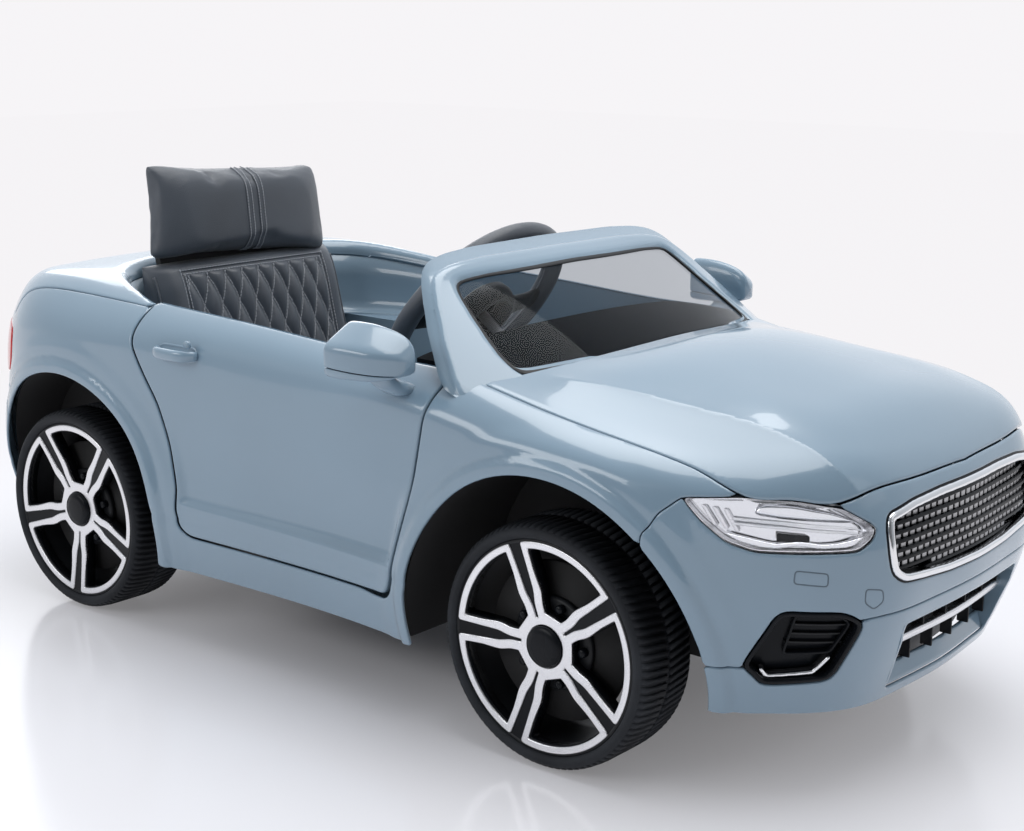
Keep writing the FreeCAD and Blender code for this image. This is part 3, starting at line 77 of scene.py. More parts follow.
class CarSeatSettings(bpy.types.PropertyGroup):
    """Seat cover."""
    leather: colour_property("Leather", "Colour of the seat cover", (0.06, 0.071, 0.088))
    thread: colour_property("Thread", "Colour of the sewing thread", (0.36, 0.38, 0.42))
    stitch: bpy.props.FloatProperty(name="Stitch", description="Length from stitch to stitch, in millimetres",
                                    default=4.4, min=2, max=10)


class CarTrimSettings(bpy.types.PropertyGroup):
    """Wheels, lamps and bright trim."""
    silver: colour_property("Silver", "Colour of the machined wheel faces", (0.83, 0.83, 0.85))
    lens: colour_property("Tail lamp", "Colour of the tail lamps", (0.5, 0.008, 0.012))
    spokes: bpy.props.IntProperty(name="Spoke pairs", description="Pairs of spokes in a wheel",
                                  default=5, min=3, max=8)
    tread: bpy.props.IntProperty(name="Tread blocks", description="Blocks round a tyre", default=96, min=40, max=140)


# Finishes.

class Socket:
    """A node's output; arithmetic on it adds Math nodes."""

    def __init__(self, finish, socket):
        self.finish, self.socket = finish, socket

    def maths(self, operation, first, second):
        return self.finish.node("ShaderNodeMath", {"operation": operation}, first, second)

    def __add__(self, other):
        return self.maths("ADD", self, other)

    def __sub__(self, other):
        return self.maths("SUBTRACT", self, other)

    def __rsub__(self, other):
        return self.maths("SUBTRACT", other, self)

    def __mul__(self, other):
        return self.maths("MULTIPLY", self, other)

    __radd__, __rmul__ = __add__, __mul__


class Finish:
    """A material with its Principled shader and the nodes that feed it."""

    def __init__(self, name, **constants):
        self.material = bpy.data.materials.new(name)
        self.material.use_nodes = True
        self.tree = self.material.node_tree
        self.shader = self.tree.nodes["Principled BSDF"]
        self.place = self.node("ShaderNodeTexCoord", output="Object")
        self.feed(constants)

    def link(self, socket, value):
        if isinstance(value, Socket):
            self.tree.links.new(value.socket, socket)
        elif value is not None:
            socket.default_value = value

    def node(self, kind, settings=None, *values, output=0, **named):
        node = self.tree.nodes.new(kind)
        for key, value in (settings or {}).items():
            setattr(node, key, value)
        for index, value in enumerate(values):
            self.link(node.inputs[index], value)
        for name, value in named.items():
            self.link(node.inputs[name.replace("_", " ")], value)
        return Socket(self, node.outputs[output])

    def feed(self, sockets):
        for name, value in sockets.items():
            self.link(self.shader.inputs[name.replace("_", " ")], value)

    def noise(self, scale, detail=2.0, roughness=0.5):
        return self.node("ShaderNodeTexNoise", None, Vector=self.place, Scale=scale, Detail=detail,
                         Roughness=roughness)

    def cells(self, scale):
        return self.node("ShaderNodeTexVoronoi", {"feature": "DISTANCE_TO_EDGE"}, Vector=self.place, Scale=scale)

    def ramp(self, value, low, high):
        """Value mapped from low..high to 0..1 and held there."""
        return self.node("ShaderNodeMapRange", None, value, low, high)

    def mix(self, share, first, second):
        mixer = self.tree.nodes.new("ShaderNodeMix")
        mixer.data_type = "RGBA"
        for socket, value in zip((mixer.inputs["Factor"], mixer.inputs[6], mixer.inputs[7]), (share, first, second)):
            self.link(socket, value)
        return Socket(self, mixer.outputs[2])

    def bump(self, height, strength, distance):
        return self.node("ShaderNodeBump", None, Height=height, Strength=strength, Distance=distance)


def rgba(colour, share=1.0):
    return tuple(min(1.0, c * share) for c in colour[:3]) + (1.0,)


def paint_finish(colour):
    """Glossy moulded paint: a little flow in the gloss and a faint clouding of the colour."""
    f = Finish("body_paint", Coat_Weight=0.8, Coat_Roughness=0.05, IOR=1.5)
    cloud, flow = f.noise(5.0, 3.0), f.noise(38.0, 1.0)
    f.feed({"Base Color": f.mix(f.ramp(cloud, 0.3, 0.7), rgba(colour, 0.97), rgba(colour, 1.035)),
            "Roughness": 0.2 + cloud * 0.06, "Normal": f.bump(flow, 0.05, 0.0006)})
    return f.material


def plastic_finish(name, colour, roughness, grain, **constants):
    """Moulded plastic with a fine spark grain and faint wear."""
    f = Finish(name, **constants)
    spark, wear = f.noise(grain, 3.0, 0.6), f.noise(14.0, 4.0)
    f.feed({"Base Color": f.mix(f.ramp(wear, 0.35, 0.75), rgba(colour), rgba(colour, 1.35)),
            "Roughness": roughness + wear * 0.12, "Normal": f.bump(spark, 0.18, 0.0003)})
    return f.material


def metal_finish(name, colour, roughness, brushed):
    """Metal whose gloss changes along fine brush marks."""
    f = Finish(name, Metallic=1.0)
    streak = f.node("ShaderNodeMapping", None, f.place, Scale=(brushed, 14.0, brushed))
    marks = f.node("ShaderNodeTexNoise", None, Vector=streak, Scale=9.0, Detail=4.0)
    f.feed({"Base Color": f.mix(marks, rgba(colour, 0.93), rgba(colour)), "Roughness": roughness + marks * 0.12,
            "Normal": f.bump(marks, 0.03, 0.0003)})
    return f.material


def clear_finish(name, colour, bend, roughness=0.02):
    """Clear or tinted moulding that light passes through."""
    f = Finish(name, Transmission_Weight=1.0, IOR=bend)
    haze = f.noise(30.0, 2.0)
    f.feed({"Base Color": rgba(colour), "Roughness": roughness + haze * 0.02})
    return f.material


def leather_finish(colour):
    """Charcoal cover: pebbled grain, soft creases, a little sheen on what stands proud."""
    f = Finish("seat_leather", Specular_IOR_Level=0.6, Sheen_Weight=0.15)
    pebble, crease, tone = f.cells(620.0), f.noise(55.0, 4.0), f.noise(9.0, 3.0)
    grain = f.ramp(pebble, 0.0, 0.22)
    f.feed({"Base Color": f.mix(f.ramp(tone, 0.3, 0.7), rgba(colour, 0.85), rgba(colour, 1.25)),
            "Roughness": 0.4 - grain * 0.08 + tone * 0.1, "Normal": f.bump(grain * 0.6 + crease * 0.7, 0.28, 0.0006)})
    return f.material


def tyre_finish():
    """Dull black rubber with a dusty bloom and moulding marks."""
    f = Finish("tyre_rubber", Specular_IOR_Level=0.3)
    dust, grain = f.noise(24.0, 5.0), f.noise(700.0, 2.0)
    f.feed({"Base Color": f.mix(f.ramp(dust, 0.4, 0.8), (0.013, 0.015, 0.019, 1), (0.03, 0.034, 0.041, 1)),
            "Roughness": 0.62 + dust * 0.15, "Normal": f.bump(grain, 0.2, 0.0004)})
    return f.material


def thread_finish(colour):
    f = Finish("seat_thread", Roughness=0.7, Sheen_Weight=0.3)
    twist = f.noise(1500.0, 1.0)
    f.feed({"Base Color": f.mix(twist, rgba(colour, 0.75), rgba(colour, 1.15))})
    return f.material


FINISHES, DONE = {}, set()


def make_finishes(body, seat, trim):
    FINISHES.update(
        paint=paint_finish(body.paint), leather=leather_finish(seat.leather), thread=thread_finish(seat.thread),
        tyre=tyre_finish(),
        black=plastic_finish("satin_black", (0.008, 0.009, 0.011), 0.38, 900.0, Specular_IOR_Level=0.3),
        gloss=plastic_finish("gloss_black", (0.005, 0.006, 0.008), 0.2, 120.0, Specular_IOR_Level=0.15),
        coarse=plastic_finish("chassis_black", (0.02, 0.02, 0.021), 0.6, 500.0),
        dash=plastic_finish("dash_black", (0.006, 0.008, 0.011), 0.75, 900.0, Specular_IOR_Level=0.05),
        # groove: the paint darkened to 0.4, painted shade that stands for the shade inside the grooves round the
        # bumper covers
        groove=plastic_finish("panel_groove_painted_shade", rgba(body.paint, 0.4), 0.4, 200.0),
        chrome=metal_finish("bright_trim", (0.86, 0.87, 0.89), 0.06, 60.0),
        silver=metal_finish("machined_silver", trim.silver, 0.22, 220.0),
        steel=metal_finish("plain_steel", (0.45, 0.45, 0.46), 0.35, 120.0),
        lens=clear_finish("clear_lens", (0.97, 0.98, 1.0), 1.3),
        screen=clear_finish("tinted_screen", (0.5, 0.53, 0.56), 1.1),
        red=plastic_finish("red_lens", trim.lens, 0.1, 200.0, Coat_Weight=0.6),
        mirror=metal_finish("mirror_glass", (0.9, 0.91, 0.93), 0.02, 10.0),
        bulb=plastic_finish("lamp_white", (0.85, 0.87, 0.9), 0.2, 200.0, Coat_Weight=0.5),
    )


# Meshes, in millimetres until they become an object.

def piece(name, points, faces, finish, smooth=True, subdivide=0):
    """Object at the origin from points in millimetres, with its normals outwards."""
    mesh = bpy.data.meshes.new(name)
    mesh.from_pydata([tuple(p) for p in np.asarray(points, float) * MM], [], [tuple(map(int, f)) for f in faces])
    tidy = bmesh.new()
    tidy.from_mesh(mesh)
    bmesh.ops.remove_doubles(tidy, verts=tidy.verts, dist=2e-5)
    bmesh.ops.dissolve_degenerate(tidy, edges=tidy.edges, dist=1e-6)
    bmesh.ops.recalc_face_normals(tidy, faces=tidy.faces)
    tidy.to_mesh(mesh)
    tidy.free()
    obj = bpy.data.objects.new(name, mesh)
    bpy.context.scene.collection.objects.link(obj)
    mesh.materials.append(FINISHES[finish])
    mesh.polygons.foreach_set("use_smooth", [smooth] * len(mesh.polygons))
    if subdivide:
        smoother = obj.modifiers.new("smoother", "SUBSURF")
        smoother.levels = smoother.render_levels = subdivide
    return obj


def settle(obj, body, slot, *nodes):
    """Bake modifiers, then ride on a body and stand for CAD nodes."""
    if obj.modifiers:
        graph = bpy.context.evaluated_depsgraph_get()
        baked = bpy.data.meshes.new_from_object(obj.evaluated_get(graph))
        obj.modifiers.clear()
        obj.data = baked
    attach(obj, body)
    if nodes:
        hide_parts(*nodes)
        DONE.update(nodes)
    return obj


def dress(node, finish):
    """Give a CAD node that stays in view its finish."""
    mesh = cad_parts[node].data
    mesh.materials.clear()
    mesh.materials.append(FINISHES[finish])
    DONE.add(node)


def joined(*shapes):
    """Several (points, faces) as one."""
    points, faces, start = [], [], 0
    for some_points, some_faces in shapes:
        points.append(np.asarray(some_points, float))
        faces += [tuple(i + start for i in face) for face in some_faces]
        start += len(some_points)
    return np.concatenate(points), faces


def flipped(shape):
    """Mirror image across the car's middle."""
    points, faces = shape
    return np.asarray(points) * (1, -1, 1), [tuple(reversed(f)) for f in faces]


def moved(shape, step=(0, 0, 0), turn=None):
    """Shape turned by a matrix, then moved by a step."""
    points, faces = shape
    points = np.asarray(points, float)
    if turn is not None:
        points = points @ np.array(turn).T
    return points + np.array(step, float), faces


def loft(rings, closed=False):
    """Skin over rings of equal point counts."""
    count = len(rings[0])
    points = np.concatenate([np.asarray(r, float) for r in rings])
    faces = []
    last = len(rings) if closed else len(rings) - 1
    for i in range(last):
        a, b = i * count, ((i + 1) % len(rings)) * count
        faces += [(a + j, a + (j + 1) % count, b + (j + 1) % count, b + j) for j in range(count)]
    if not closed:
        faces += [tuple(range(count - 1, -1, -1)), tuple(range(len(points) - count, len(points)))]
    return points, faces


def ring_of_points(count, rx, ry, power=2.0):
    """Superellipse outline in two coordinates."""
    a = np.linspace(0, 2 * math.pi, count, endpoint=False)
    c, s = np.cos(a), np.sin(a)
    return np.stack((rx * np.sign(c) * np.abs(c) ** (2 / power), ry * np.sign(s) * np.abs(s) ** (2 / power)), 1)


def turned(profile, steps=96, axis="y"):
    """Closed profile of (radius, along) turned about an axis."""
    profile = np.asarray(profile, float)
    rings = []
    for a in np.linspace(0, 2 * math.pi, steps, endpoint=False):
        r, along = profile[:, 0], profile[:, 1]
        cols = (r * math.cos(a), along, r * math.sin(a)) if axis == "y" else (r * math.cos(a), r * math.sin(a), along)
        rings.append(np.stack(cols, 1))
    return loft(rings, closed=True)


def sweep(path, outline, up=(0, 0, 1), closed=False):
    """Outline (across, up) carried along a path; it may change along it."""
    path = np.asarray(path, float)
    tangent = np.gradient(path, axis=0)
    if closed:
        tangent = np.roll(path, -1, 0) - np.roll(path, 1, 0)
    tangent /= np.linalg.norm(tangent, axis=1)[:, None]
    rings = []
    for i, (p, t) in enumerate(zip(path, tangent)):
        across = np.cross(t, up)
        across /= np.linalg.norm(across)
        over = np.cross(across, t)
        o = np.asarray(outline[i] if len(np.shape(outline)) == 3 else outline)
        rings.append(p + o[:, :1] * across + o[:, 1:] * over)
    return loft(rings, closed=closed)


def soft_block(low, high, cut=2.0):
    """Box with cut edges, for a bevelled look at few faces."""
    low, high = np.array(low, float), np.array(high, float)
    rings = []
    for z, inset in ((low[2], cut), (low[2] + cut, 0), (high[2] - cut, 0), (high[2], cut)):
        x0, y0, x1, y1 = low[0] + inset, low[1] + inset, high[0] - inset, high[1] - inset
        rings.append([(x0 + cut, y0, z), (x1 - cut, y0, z), (x1, y0 + cut, z), (x1, y1 - cut, z),
                      (x1 - cut, y1, z), (x0 + cut, y1, z), (x0, y1 - cut, z), (x0, y0 + cut, z)])
    return loft(rings)


def cubic(knots, values, where, slopes=None):
    """Cubic spline through values at knots, with free or given end slopes."""
    knots, values, where = np.asarray(knots, float), np.asarray(values, float), np.asarray(where, float)
    n, h = len(knots), np.diff(knots)
    rise = np.diff(values, axis=0) / h[:, None]
    a, b = np.eye(n), np.zeros_like(values)
    for i in range(1, n - 1):
        a[i, i - 1:i + 2] = h[i - 1], 2 * (h[i - 1] + h[i]), h[i]
        b[i] = 6 * (rise[i] - rise[i - 1])
    if slopes is not None:
        a[0, :2], a[-1, -2:] = (2 * h[0], h[0]), (h[-1], 2 * h[-1])
        b[0], b[-1] = 6 * (rise[0] - slopes[0]), 6 * (slopes[1] - rise[-1])
    m = np.linalg.solve(a, b)
    i = np.clip(np.searchsorted(knots, where) - 1, 0, n - 2)
    p, q, w = (where - knots[i])[:, None], (knots[i + 1] - where)[:, None], h[i][:, None]
    bend = (m[i] * q ** 3 + m[i + 1] * p ** 3) / (6 * w)
    return bend + (values[i] / w - m[i] * w / 6) * q + (values[i + 1] / w - m[i + 1] * w / 6) * p


# Body surface: plan outlines by height, and crowns along the car.

LEVELS = ((85, 12, 28, 34, 22), (158, 0, 10, 8, 6), (240, 3.5, 2, 0, 0), (325, 2, 6, 34, 14), (430, 28, 40, 110, 80))
NOSE_CURVE = ((4, 0.30), (14, 0.53), (50, 0.72), (105, 0.855), (185, 0.955))
TAIL_CURVE = ((8, 0.38), (28, 0.64), (72, 0.82), (135, 0.945))
SIDE_CURVE = ((328, 0.995), (100, 0.985), (-150, 0.985), (-378, 1.0))
CROWNS = (
    (-660, 285, 283, 275, 262), (-605, 350, 346, 336, 318), (-550, 384, 380, 368, 338), (-480, 398, 393, 382, 347),
    (-380, 402, 397, 384, 349), (-226, 394, 389, 378, 350), (-40, 384, 379, 370, 346), (120, 376, 371, 362, 342),
    (200, 373, 368, 359, 336), (264, 372, 361, 347, 326), (330, 379, 356, 334, 315), (420, 374, 347, 320, 303),
    (500, 360, 338, 307, 285), (560, 341, 322, 299, 270), (605, 306, 302, 290, 255), (660, 252, 248, 238, 205),
)
COLUMNS, SIDE_ROWS, TOP_ROWS = 340, 60, 46
SILL, HIGHEST, HEIGHT_STEPS = 85, 430, 173
SHOULDER_ROUNDS = 26


def run_along(points):
    """Length run along a path up to each of its points."""
    return np.concatenate(([0], np.cumsum(np.linalg.norm(np.diff(points, axis=0), axis=1))))


def plan_outline(level, shares):
    """Right half of the plan outline at a level, from nose to tail."""
    side, nose_width, nose, tail = level[1:]
    nose_half, side_half = HALF_WIDTH - nose_width, HALF_WIDTH - side
    half = [(HALF_LENGTH - nose, 0)]
    half += [(HALF_LENGTH - nose - back, -share * nose_half) for back, share in NOSE_CURVE]
    half += [(x, -share * side_half) for x, share in SIDE_CURVE]
    half += [(tail - HALF_LENGTH + ahead, -share * side_half) for ahead, share in reversed(TAIL_CURVE)]
    half += [(tail - HALF_LENGTH, 0)]
    half = np.array(half, float)
    along = run_along(half)
    return cubic(along, half, shares * along[-1], ((0, -1), (0, 1)))


def crown_height(x, y):
    """Height of the top over a point in plan."""
    rows = np.array(CROWNS, float)
    middle, crease, fender, edge = rows[:, 1:].T
    half = np.stack((middle - 0.25 * (middle - crease), crease, fender, edge, edge - 40), 1)
    heights = np.concatenate((half[:, ::-1], middle[:, None], half), 1)
    wide = np.array((0.34, 0.63, 0.85, 1, 1.1)) * HALF_WIDTH
    across = np.concatenate((-wide[::-1], [0], wide))
    shape = np.shape(x)
    stations = cubic(rows[:, 0], heights, np.ravel(x))
    shares = cubic(across, np.eye(11), np.clip(np.ravel(y), across[0], across[-1]))
    return (stations * shares).sum(1).reshape(shape)


def smooth_step(value, low, high):
    """Share from 0 to 1 between two values, with soft ends."""
    share = np.clip((value - low) / (high - low), 0, 1)
    return share * share * (3 - 2 * share)


def grid_normals(points):
    normal = np.cross(np.gradient(points, axis=1), np.gradient(points, axis=0))
    size = np.linalg.norm(normal, axis=2)
    for row in range(1, points.shape[1]):
        flat = size[:, row] < 1e-6
        normal[flat, row], size[flat, row] = normal[flat, row - 1], size[flat, row - 1]
    return normal / np.maximum(size, 1e-9)[..., None]


def body_grid(flare):
    """Right half of the body: columns from nose to tail, rows from the sill over the shoulder to the middle."""
    shares = np.linspace(0, 1, COLUMNS)
    heights = np.linspace(SILL, HIGHEST, HEIGHT_STEPS)
    outlines = np.stack([plan_outline(level, shares) for level in LEVELS])
    table = cubic([level[0] for level in LEVELS], outlines.reshape(len(LEVELS), -1), heights)
    table = table.reshape(len(heights), COLUMNS, 2)
    over = crown_height(table[..., 0], table[..., 1]) - heights[:, None]
    points = np.zeros((COLUMNS, SIDE_ROWS + TOP_ROWS, 3))
    for column in range(COLUMNS):
        meets = np.argmax((over[:, column] < 0) & (heights > 200))
        above, below = over[meets - 1, column], over[meets, column]
        edge = heights[meets - 1] + 2 * above / (above - below)
        z = np.linspace(SILL, edge, SIDE_ROWS)
        plan = [np.interp(z, heights, table[:, column, axis]) for axis in (0, 1)]
        points[column, :SIDE_ROWS] = np.stack((*plan, z), 1)
        corner = points[column, SIDE_ROWS - 1]
        spine = np.array((np.clip(corner[0], -470, 480), 0))
        share = np.linspace(0, 1, TOP_ROWS + 1)[1:, None]
        points[column, SIDE_ROWS:, :2] = corner[:2] + share * (spine - corner[:2])
    top = points[:, SIDE_ROWS:]
    top[..., 2] = crown_height(top[..., 0], top[..., 1])
    near = np.exp(-((np.arange(SIDE_ROWS + TOP_ROWS) - SIDE_ROWS + 0.5) / 4.5) ** 2)[None, 1:-1, None]
    for _ in range(SHOULDER_ROUNDS):
        points[:, 1:-1] += near * (0.25 * (points[:, :-2] + points[:, 2:]) - 0.5 * points[:, 1:-1])
    normal = grid_normals(points)
    away = -normal[..., 1:2]
    for axle in (FRONT_AXLE, REAR_AXLE):
        reach = np.hypot(points[..., 0] - axle, points[..., 2] - ARCH_HEIGHT) - ARCH_RADIUS
        lip = flare * (1 - smooth_step(reach, 11, 17)) + 2.2 * (1 - smooth_step(reach, 26, 46))
        points += normal * (lip[..., None] * np.clip(away * 1.6 - 0.3, 0, 1))
    lower = np.exp(-((points[..., 2] - 150) / 5.0) ** 2) * smooth_step(-points[..., 1], 240, 270)
    points -= grid_normals(points) * (1.2 * lower[..., None])
    return points, grid_normals(points)


def polygon_distance(points, outline):
    """Distance to a closed outline, negative inside."""
    a = np.asarray(outline, float)
    b = np.roll(a, -1, 0)
    best, inside = np.full(len(points), 1e9), np.zeros(len(points), bool)
    for (ax, ay), (bx, by) in zip(a, b):
        ex, ey = bx - ax, by - ay
        rx, ry = points[:, 0] - ax, points[:, 1] - ay
        share = np.clip((rx * ex + ry * ey) / max(ex * ex + ey * ey, 1e-9), 0, 1)
        best = np.minimum(best, np.hypot(rx - share * ex, ry - share * ey))
        if ay != by:
            inside ^= ((ay > points[:, 1]) != (by > points[:, 1])) & (points[:, 0] < ex * ry / ey + ax)
    return np.where(inside, -best, best)


def rounded(outline, cut=8.0, steps=4):
    """Outline with its corners turned into short curves."""
    pts, out = [np.array(p, float) for p in outline], []
    for before, corner, after in zip(pts[-1:] + pts[:-1], pts, pts[1:] + pts[:1]):
        reach = [min(cut, 0.45 * np.linalg.norm(end - corner)) for end in (before, after)]
        first = corner + (before - corner) * reach[0] / max(np.linalg.norm(before - corner), 1e-9)
        last = corner + (after - corner) * reach[1] / max(np.linalg.norm(after - corner), 1e-9)
        for t in np.linspace(0, 1, steps):
            out.append((1 - t) ** 2 * first + 2 * t * (1 - t) * corner + t * t * last)
    return np.array(out)


def mirrored_outline(half):
    return list(half) + [(-a, b) for a, b in reversed(half) if a]


def cut_at(rows, faces, level, keep_outside, column=6):
    """Split faces where a column passes a level."""
    value = rows[:, column] - level
    value[np.abs(value) < 0.02] = 0
    value = value.tolist()
    made, fresh, kept = {}, [], []
    for face in faces:
        marks = [value[i] for i in face]
        if max(marks) <= 0:
            kept.append(face)
            continue
        if min(marks) >= 0:
            if keep_outside:
                kept.append(face)
            continue
        inside, outside = [], []
        for a, b in zip(face, face[1:] + face[:1]):
            if value[a] <= 0:
                inside.append(a)
            if value[a] >= 0:
                outside.append(a)
            if value[a] * value[b] < 0:
                key = (min(a, b), max(a, b))
                if key not in made:
                    share = value[key[0]] / (value[key[0]] - value[key[1]])
                    made[key] = len(rows) + len(fresh)
                    fresh.append(rows[key[0]] + share * (rows[key[1]] - rows[key[0]]))
                inside.append(made[key])
                outside.append(made[key])
        if len(inside) > 2:
            kept.append(tuple(inside))
        if keep_outside and len(outside) > 2:
            kept.append(tuple(outside))
    return (np.concatenate((rows, fresh)) if fresh else rows), kept


def rolled_drop(distance, radius):
    """How far a rounded edge falls away at a distance inside it."""
    short = radius - np.clip(distance, 0, radius)
    return radius - np.sqrt(np.maximum(radius ** 2 - short ** 2, 0))


def panel(grid, field, edge=1.6, wall=3.2, raise_by=0.0, weld=False, inner=None, wrap=False, back=None,
          round_back=False, lines=()):
    """Closed shell over the part of a grid where the field is negative, with rounded edges.

    Each line is (field, levels, push): the shell gets edges along those levels and is moved by
    push(value, points, normals).
    """
    points, normals = grid
    columns, count = points.shape[:2]
    flat, away = points.reshape(-1, 3), normals.reshape(-1, 3)
    value = field(flat)
    rows = np.concatenate([flat, away, value[:, None]] + [line[0](flat)[:, None] for line in lines], 1)
    index = np.arange(columns * count).reshape(columns, count)
    if wrap:
        index = np.concatenate((index, index[:1]))
    quads = np.stack((index[:-1, :-1], index[:-1, 1:], index[1:, 1:], index[1:, :-1]), -1).reshape(-1, 4)
    quads = quads[value[quads].min(1) < 0]
    faces = [tuple(q) for q in quads.tolist()]
    for level in (-edge, -0.5 * edge, -0.15 * edge):
        rows, faces = cut_at(rows, faces, level, True)
    rows, faces = cut_at(rows, faces, 0.0, False)
    for column, line in enumerate(lines, 7):
        for level in line[1]:
            rows, faces = cut_at(rows, faces, level, True, column)
    used = np.unique(np.concatenate([np.array(f) for f in faces]))
    lookup = {int(old): new for new, old in enumerate(used)}
    faces = [tuple(lookup[i] for i in f) for f in faces]
    rows = rows[used]
    drop = rolled_drop(-rows[:, 6], edge)
    away = rows[:, 3:6] / np.linalg.norm(rows[:, 3:6], axis=1)[:, None]
    push = np.zeros_like(away)
    for column, line in enumerate(lines, 7):
        push += line[2](rows[:, column], rows[:, :3], away)
    outside = rows[:, :3] + push + away * (raise_by - drop)[:, None]
    if inner:
        inside = inner(rows[:, :3])
    elif back is not None:
        inside = rows[:, :3] + np.array(back)
    else:
        thick = wall(rows[:, :3])[:, None] if callable(wall) else wall
        inside = rows[:, :3] + push + away * (raise_by - thick)
    if round_back:
        inside = inside + away * drop[:, None]
    if weld:
        count = len(outside)
        outside, faces = joined((outside, faces), flipped((outside, faces)))
        inside = np.concatenate((inside, inside * (1, -1, 1)))
        middle = np.abs(outside[:, 1]) < 0.01
        same = {i: i for i in range(len(outside))}
        places = {tuple(np.round(outside[i], 2)): i for i in np.flatnonzero(middle[:count])}
        for i in np.flatnonzero(middle[count:]) + count:
            same[i] = places.get(tuple(np.round(outside[i] * (1, -1, 1), 2) + 0.0), i)
        faces = [tuple(same[i] for i in f) for f in faces]
    rim = {}
    for face in faces:
        for a, b in zip(face, face[1:] + face[:1]):
            if (b, a) in rim:
                del rim[(b, a)]
            else:
                rim[(a, b)] = True
    start = len(outside)
    both = faces + [tuple(start + i for i in reversed(f)) for f in faces]
    both += [(b, a, start + a, start + b) for a, b in rim]
    return np.concatenate((outside, inside)), both


def rolled(field, radius):
    """Line for a panel that rounds the edge of a field downwards."""
    levels = [-share * radius for share in (1.0, 0.75, 0.55, 0.38, 0.24, 0.13, 0.06, 0.02)]
    return field, levels, lambda value, p, n: np.outer(-rolled_drop(-value, radius), (0, 0, 1))


# Fields over the body: negative inside a panel's outline.

FAR, TOP = 700, 470
LEAN = math.tan(math.radians(14.8))
DOOR = [(137.2 + LEAN * (z - 131), z) for z in (131, TOP)] + [
    (-247, TOP), (-250, 340), (-231, 309), (-210, 277), (-192, 230), (-180, 185), (-182, 156), (-179, 140),
    (-167, 131)]
HOOD = [(242, 217), (229, 245), (470, 242), (517, 238), (552, 216), (578, 192), (596, 154), (606, 86), (610, 0)]
BUMPER = [(440, 40), (440, 252), (453, 274), (470, 289), (548, 289), (600, 340), (FAR, 340), (FAR, 40)]
LIP = [(440, 40), (440, 134), (535, 135), (600, 184), (FAR, 186), (FAR, 40)]
REAR_BUMPER = [(-515, 40), (-515, 250), (-582, 250), (-582, 338), (-FAR, 338), (-FAR, 40)]
MOUTH = [(-228, 240), (-252, 236.5), (-290, 226), (-335, 209), (-388, 173), (-418, 107), (-428, 0)]
ROLL = 16.0
GAP, DOOR_GAP, GRILLE_GAP = 0.8, 2.4, 1.5
DOOR_BACK = -241.8
THIN_WALL = 1.9
HEADLIGHT = [(-95, 289), (-46, 293), (2, 291), (41, 284), (73, 266), (69, 256), (55, 247), (-35, 247), (-59, 254),
             (-80, 271)]
FOG = [(-13, 194), (45, 192), (66, 180), (42, 122), (-20, 117), (-29, 128), (-40, 137)]
TAIL_LAMP = [(-66, 268), (-74, 300), (-70, 322), (-34, 327), (-4, 329), (38, 316), (34, 262), (0, 256)]
GRILLE = [(0, 283), (60, 283), (110, 281), (147, 275), (152, 262), (153, 240), (150, 223), (136, 213.5), (60, 207),
          (0, 206)]
INTAKE = [(0, 169), (117, 167), (117, 158), (111, 130), (105, 97), (0, 96)]
CORNER = (HALF_LENGTH - HALF_WIDTH) / math.sqrt(2)


def side_field(outline, cut=3.0):
    shape = rounded(outline, cut)
    return lambda p: polygon_distance(p[:, (0, 2)], shape)


def hood_field(p):
    half = np.array(HOOD, float)
    along = run_along(half[2:])
    front = cubic(along, half[2:], np.linspace(0, along[-1], 40))
    arc = [(286 - 44 * (y / 217) ** 2, y) for y in np.linspace(0, 217, 14)]
    outline = np.array(arc + [tuple(half[1])] + [tuple(q) for q in front] + [(610, -20), (286, -20)])
    return np.maximum(polygon_distance(np.stack((p[:, 0], np.abs(p[:, 1])), 1), outline), 262 - p[:, 2])


def mouth_curve():
    """Plan curve of the cockpit's rounded back, from right to left."""
    half = np.array(MOUTH, float)
    full = np.concatenate((half * (1, -1), half[-2::-1]))
    along = run_along(full)
    return cubic(along, full, np.linspace(0, along[-1], 140))


def mouth_field(p):
    half = mouth_curve()[:70] * (1, -1)
    outline = [(300, 233), (-190, 241)] + [tuple(q) for q in half] + [(-428, -50), (300, -50)]
    return np.maximum(polygon_distance(np.stack((p[:, 0], np.abs(p[:, 1])), 1), outline), 300 - p[:, 2])


def front_corner_field(outline, cut=6.0):
    """Field of an outline seen square onto the right front corner."""
    shape = rounded([(CORNER + u, z) for u, z in outline], cut)
    seen = lambda p: np.stack(((p[:, 0] + p[:, 1]) / math.sqrt(2), p[:, 2]), 1)
    return lambda p: np.maximum(polygon_distance(seen(p), shape), 200 - p[:, 0])


def rear_corner_field(p):
    """Field of the tail lamp seen square onto the right rear corner."""
    shape = rounded([(-CORNER - u, z) for u, z in TAIL_LAMP], 8)
    seen = np.stack(((p[:, 0] - p[:, 1]) / math.sqrt(2), p[:, 2]), 1)
    return np.maximum(polygon_distance(seen, shape), 200 + p[:, 0])


def nose_field(half_outline, cut=10.0):
    shape = rounded(mirrored_outline(half_outline), cut)
    return lambda p: np.maximum(polygon_distance(p[:, 1:], shape), 500 - p[:, 0])


def arch_field(p):
    reach = [np.hypot(p[:, 0] - axle, p[:, 2] - ARCH_HEIGHT) for axle in (FRONT_AXLE, REAR_AXLE)]
    return np.maximum.reduce([ARCH_RADIUS - r for r in reach])


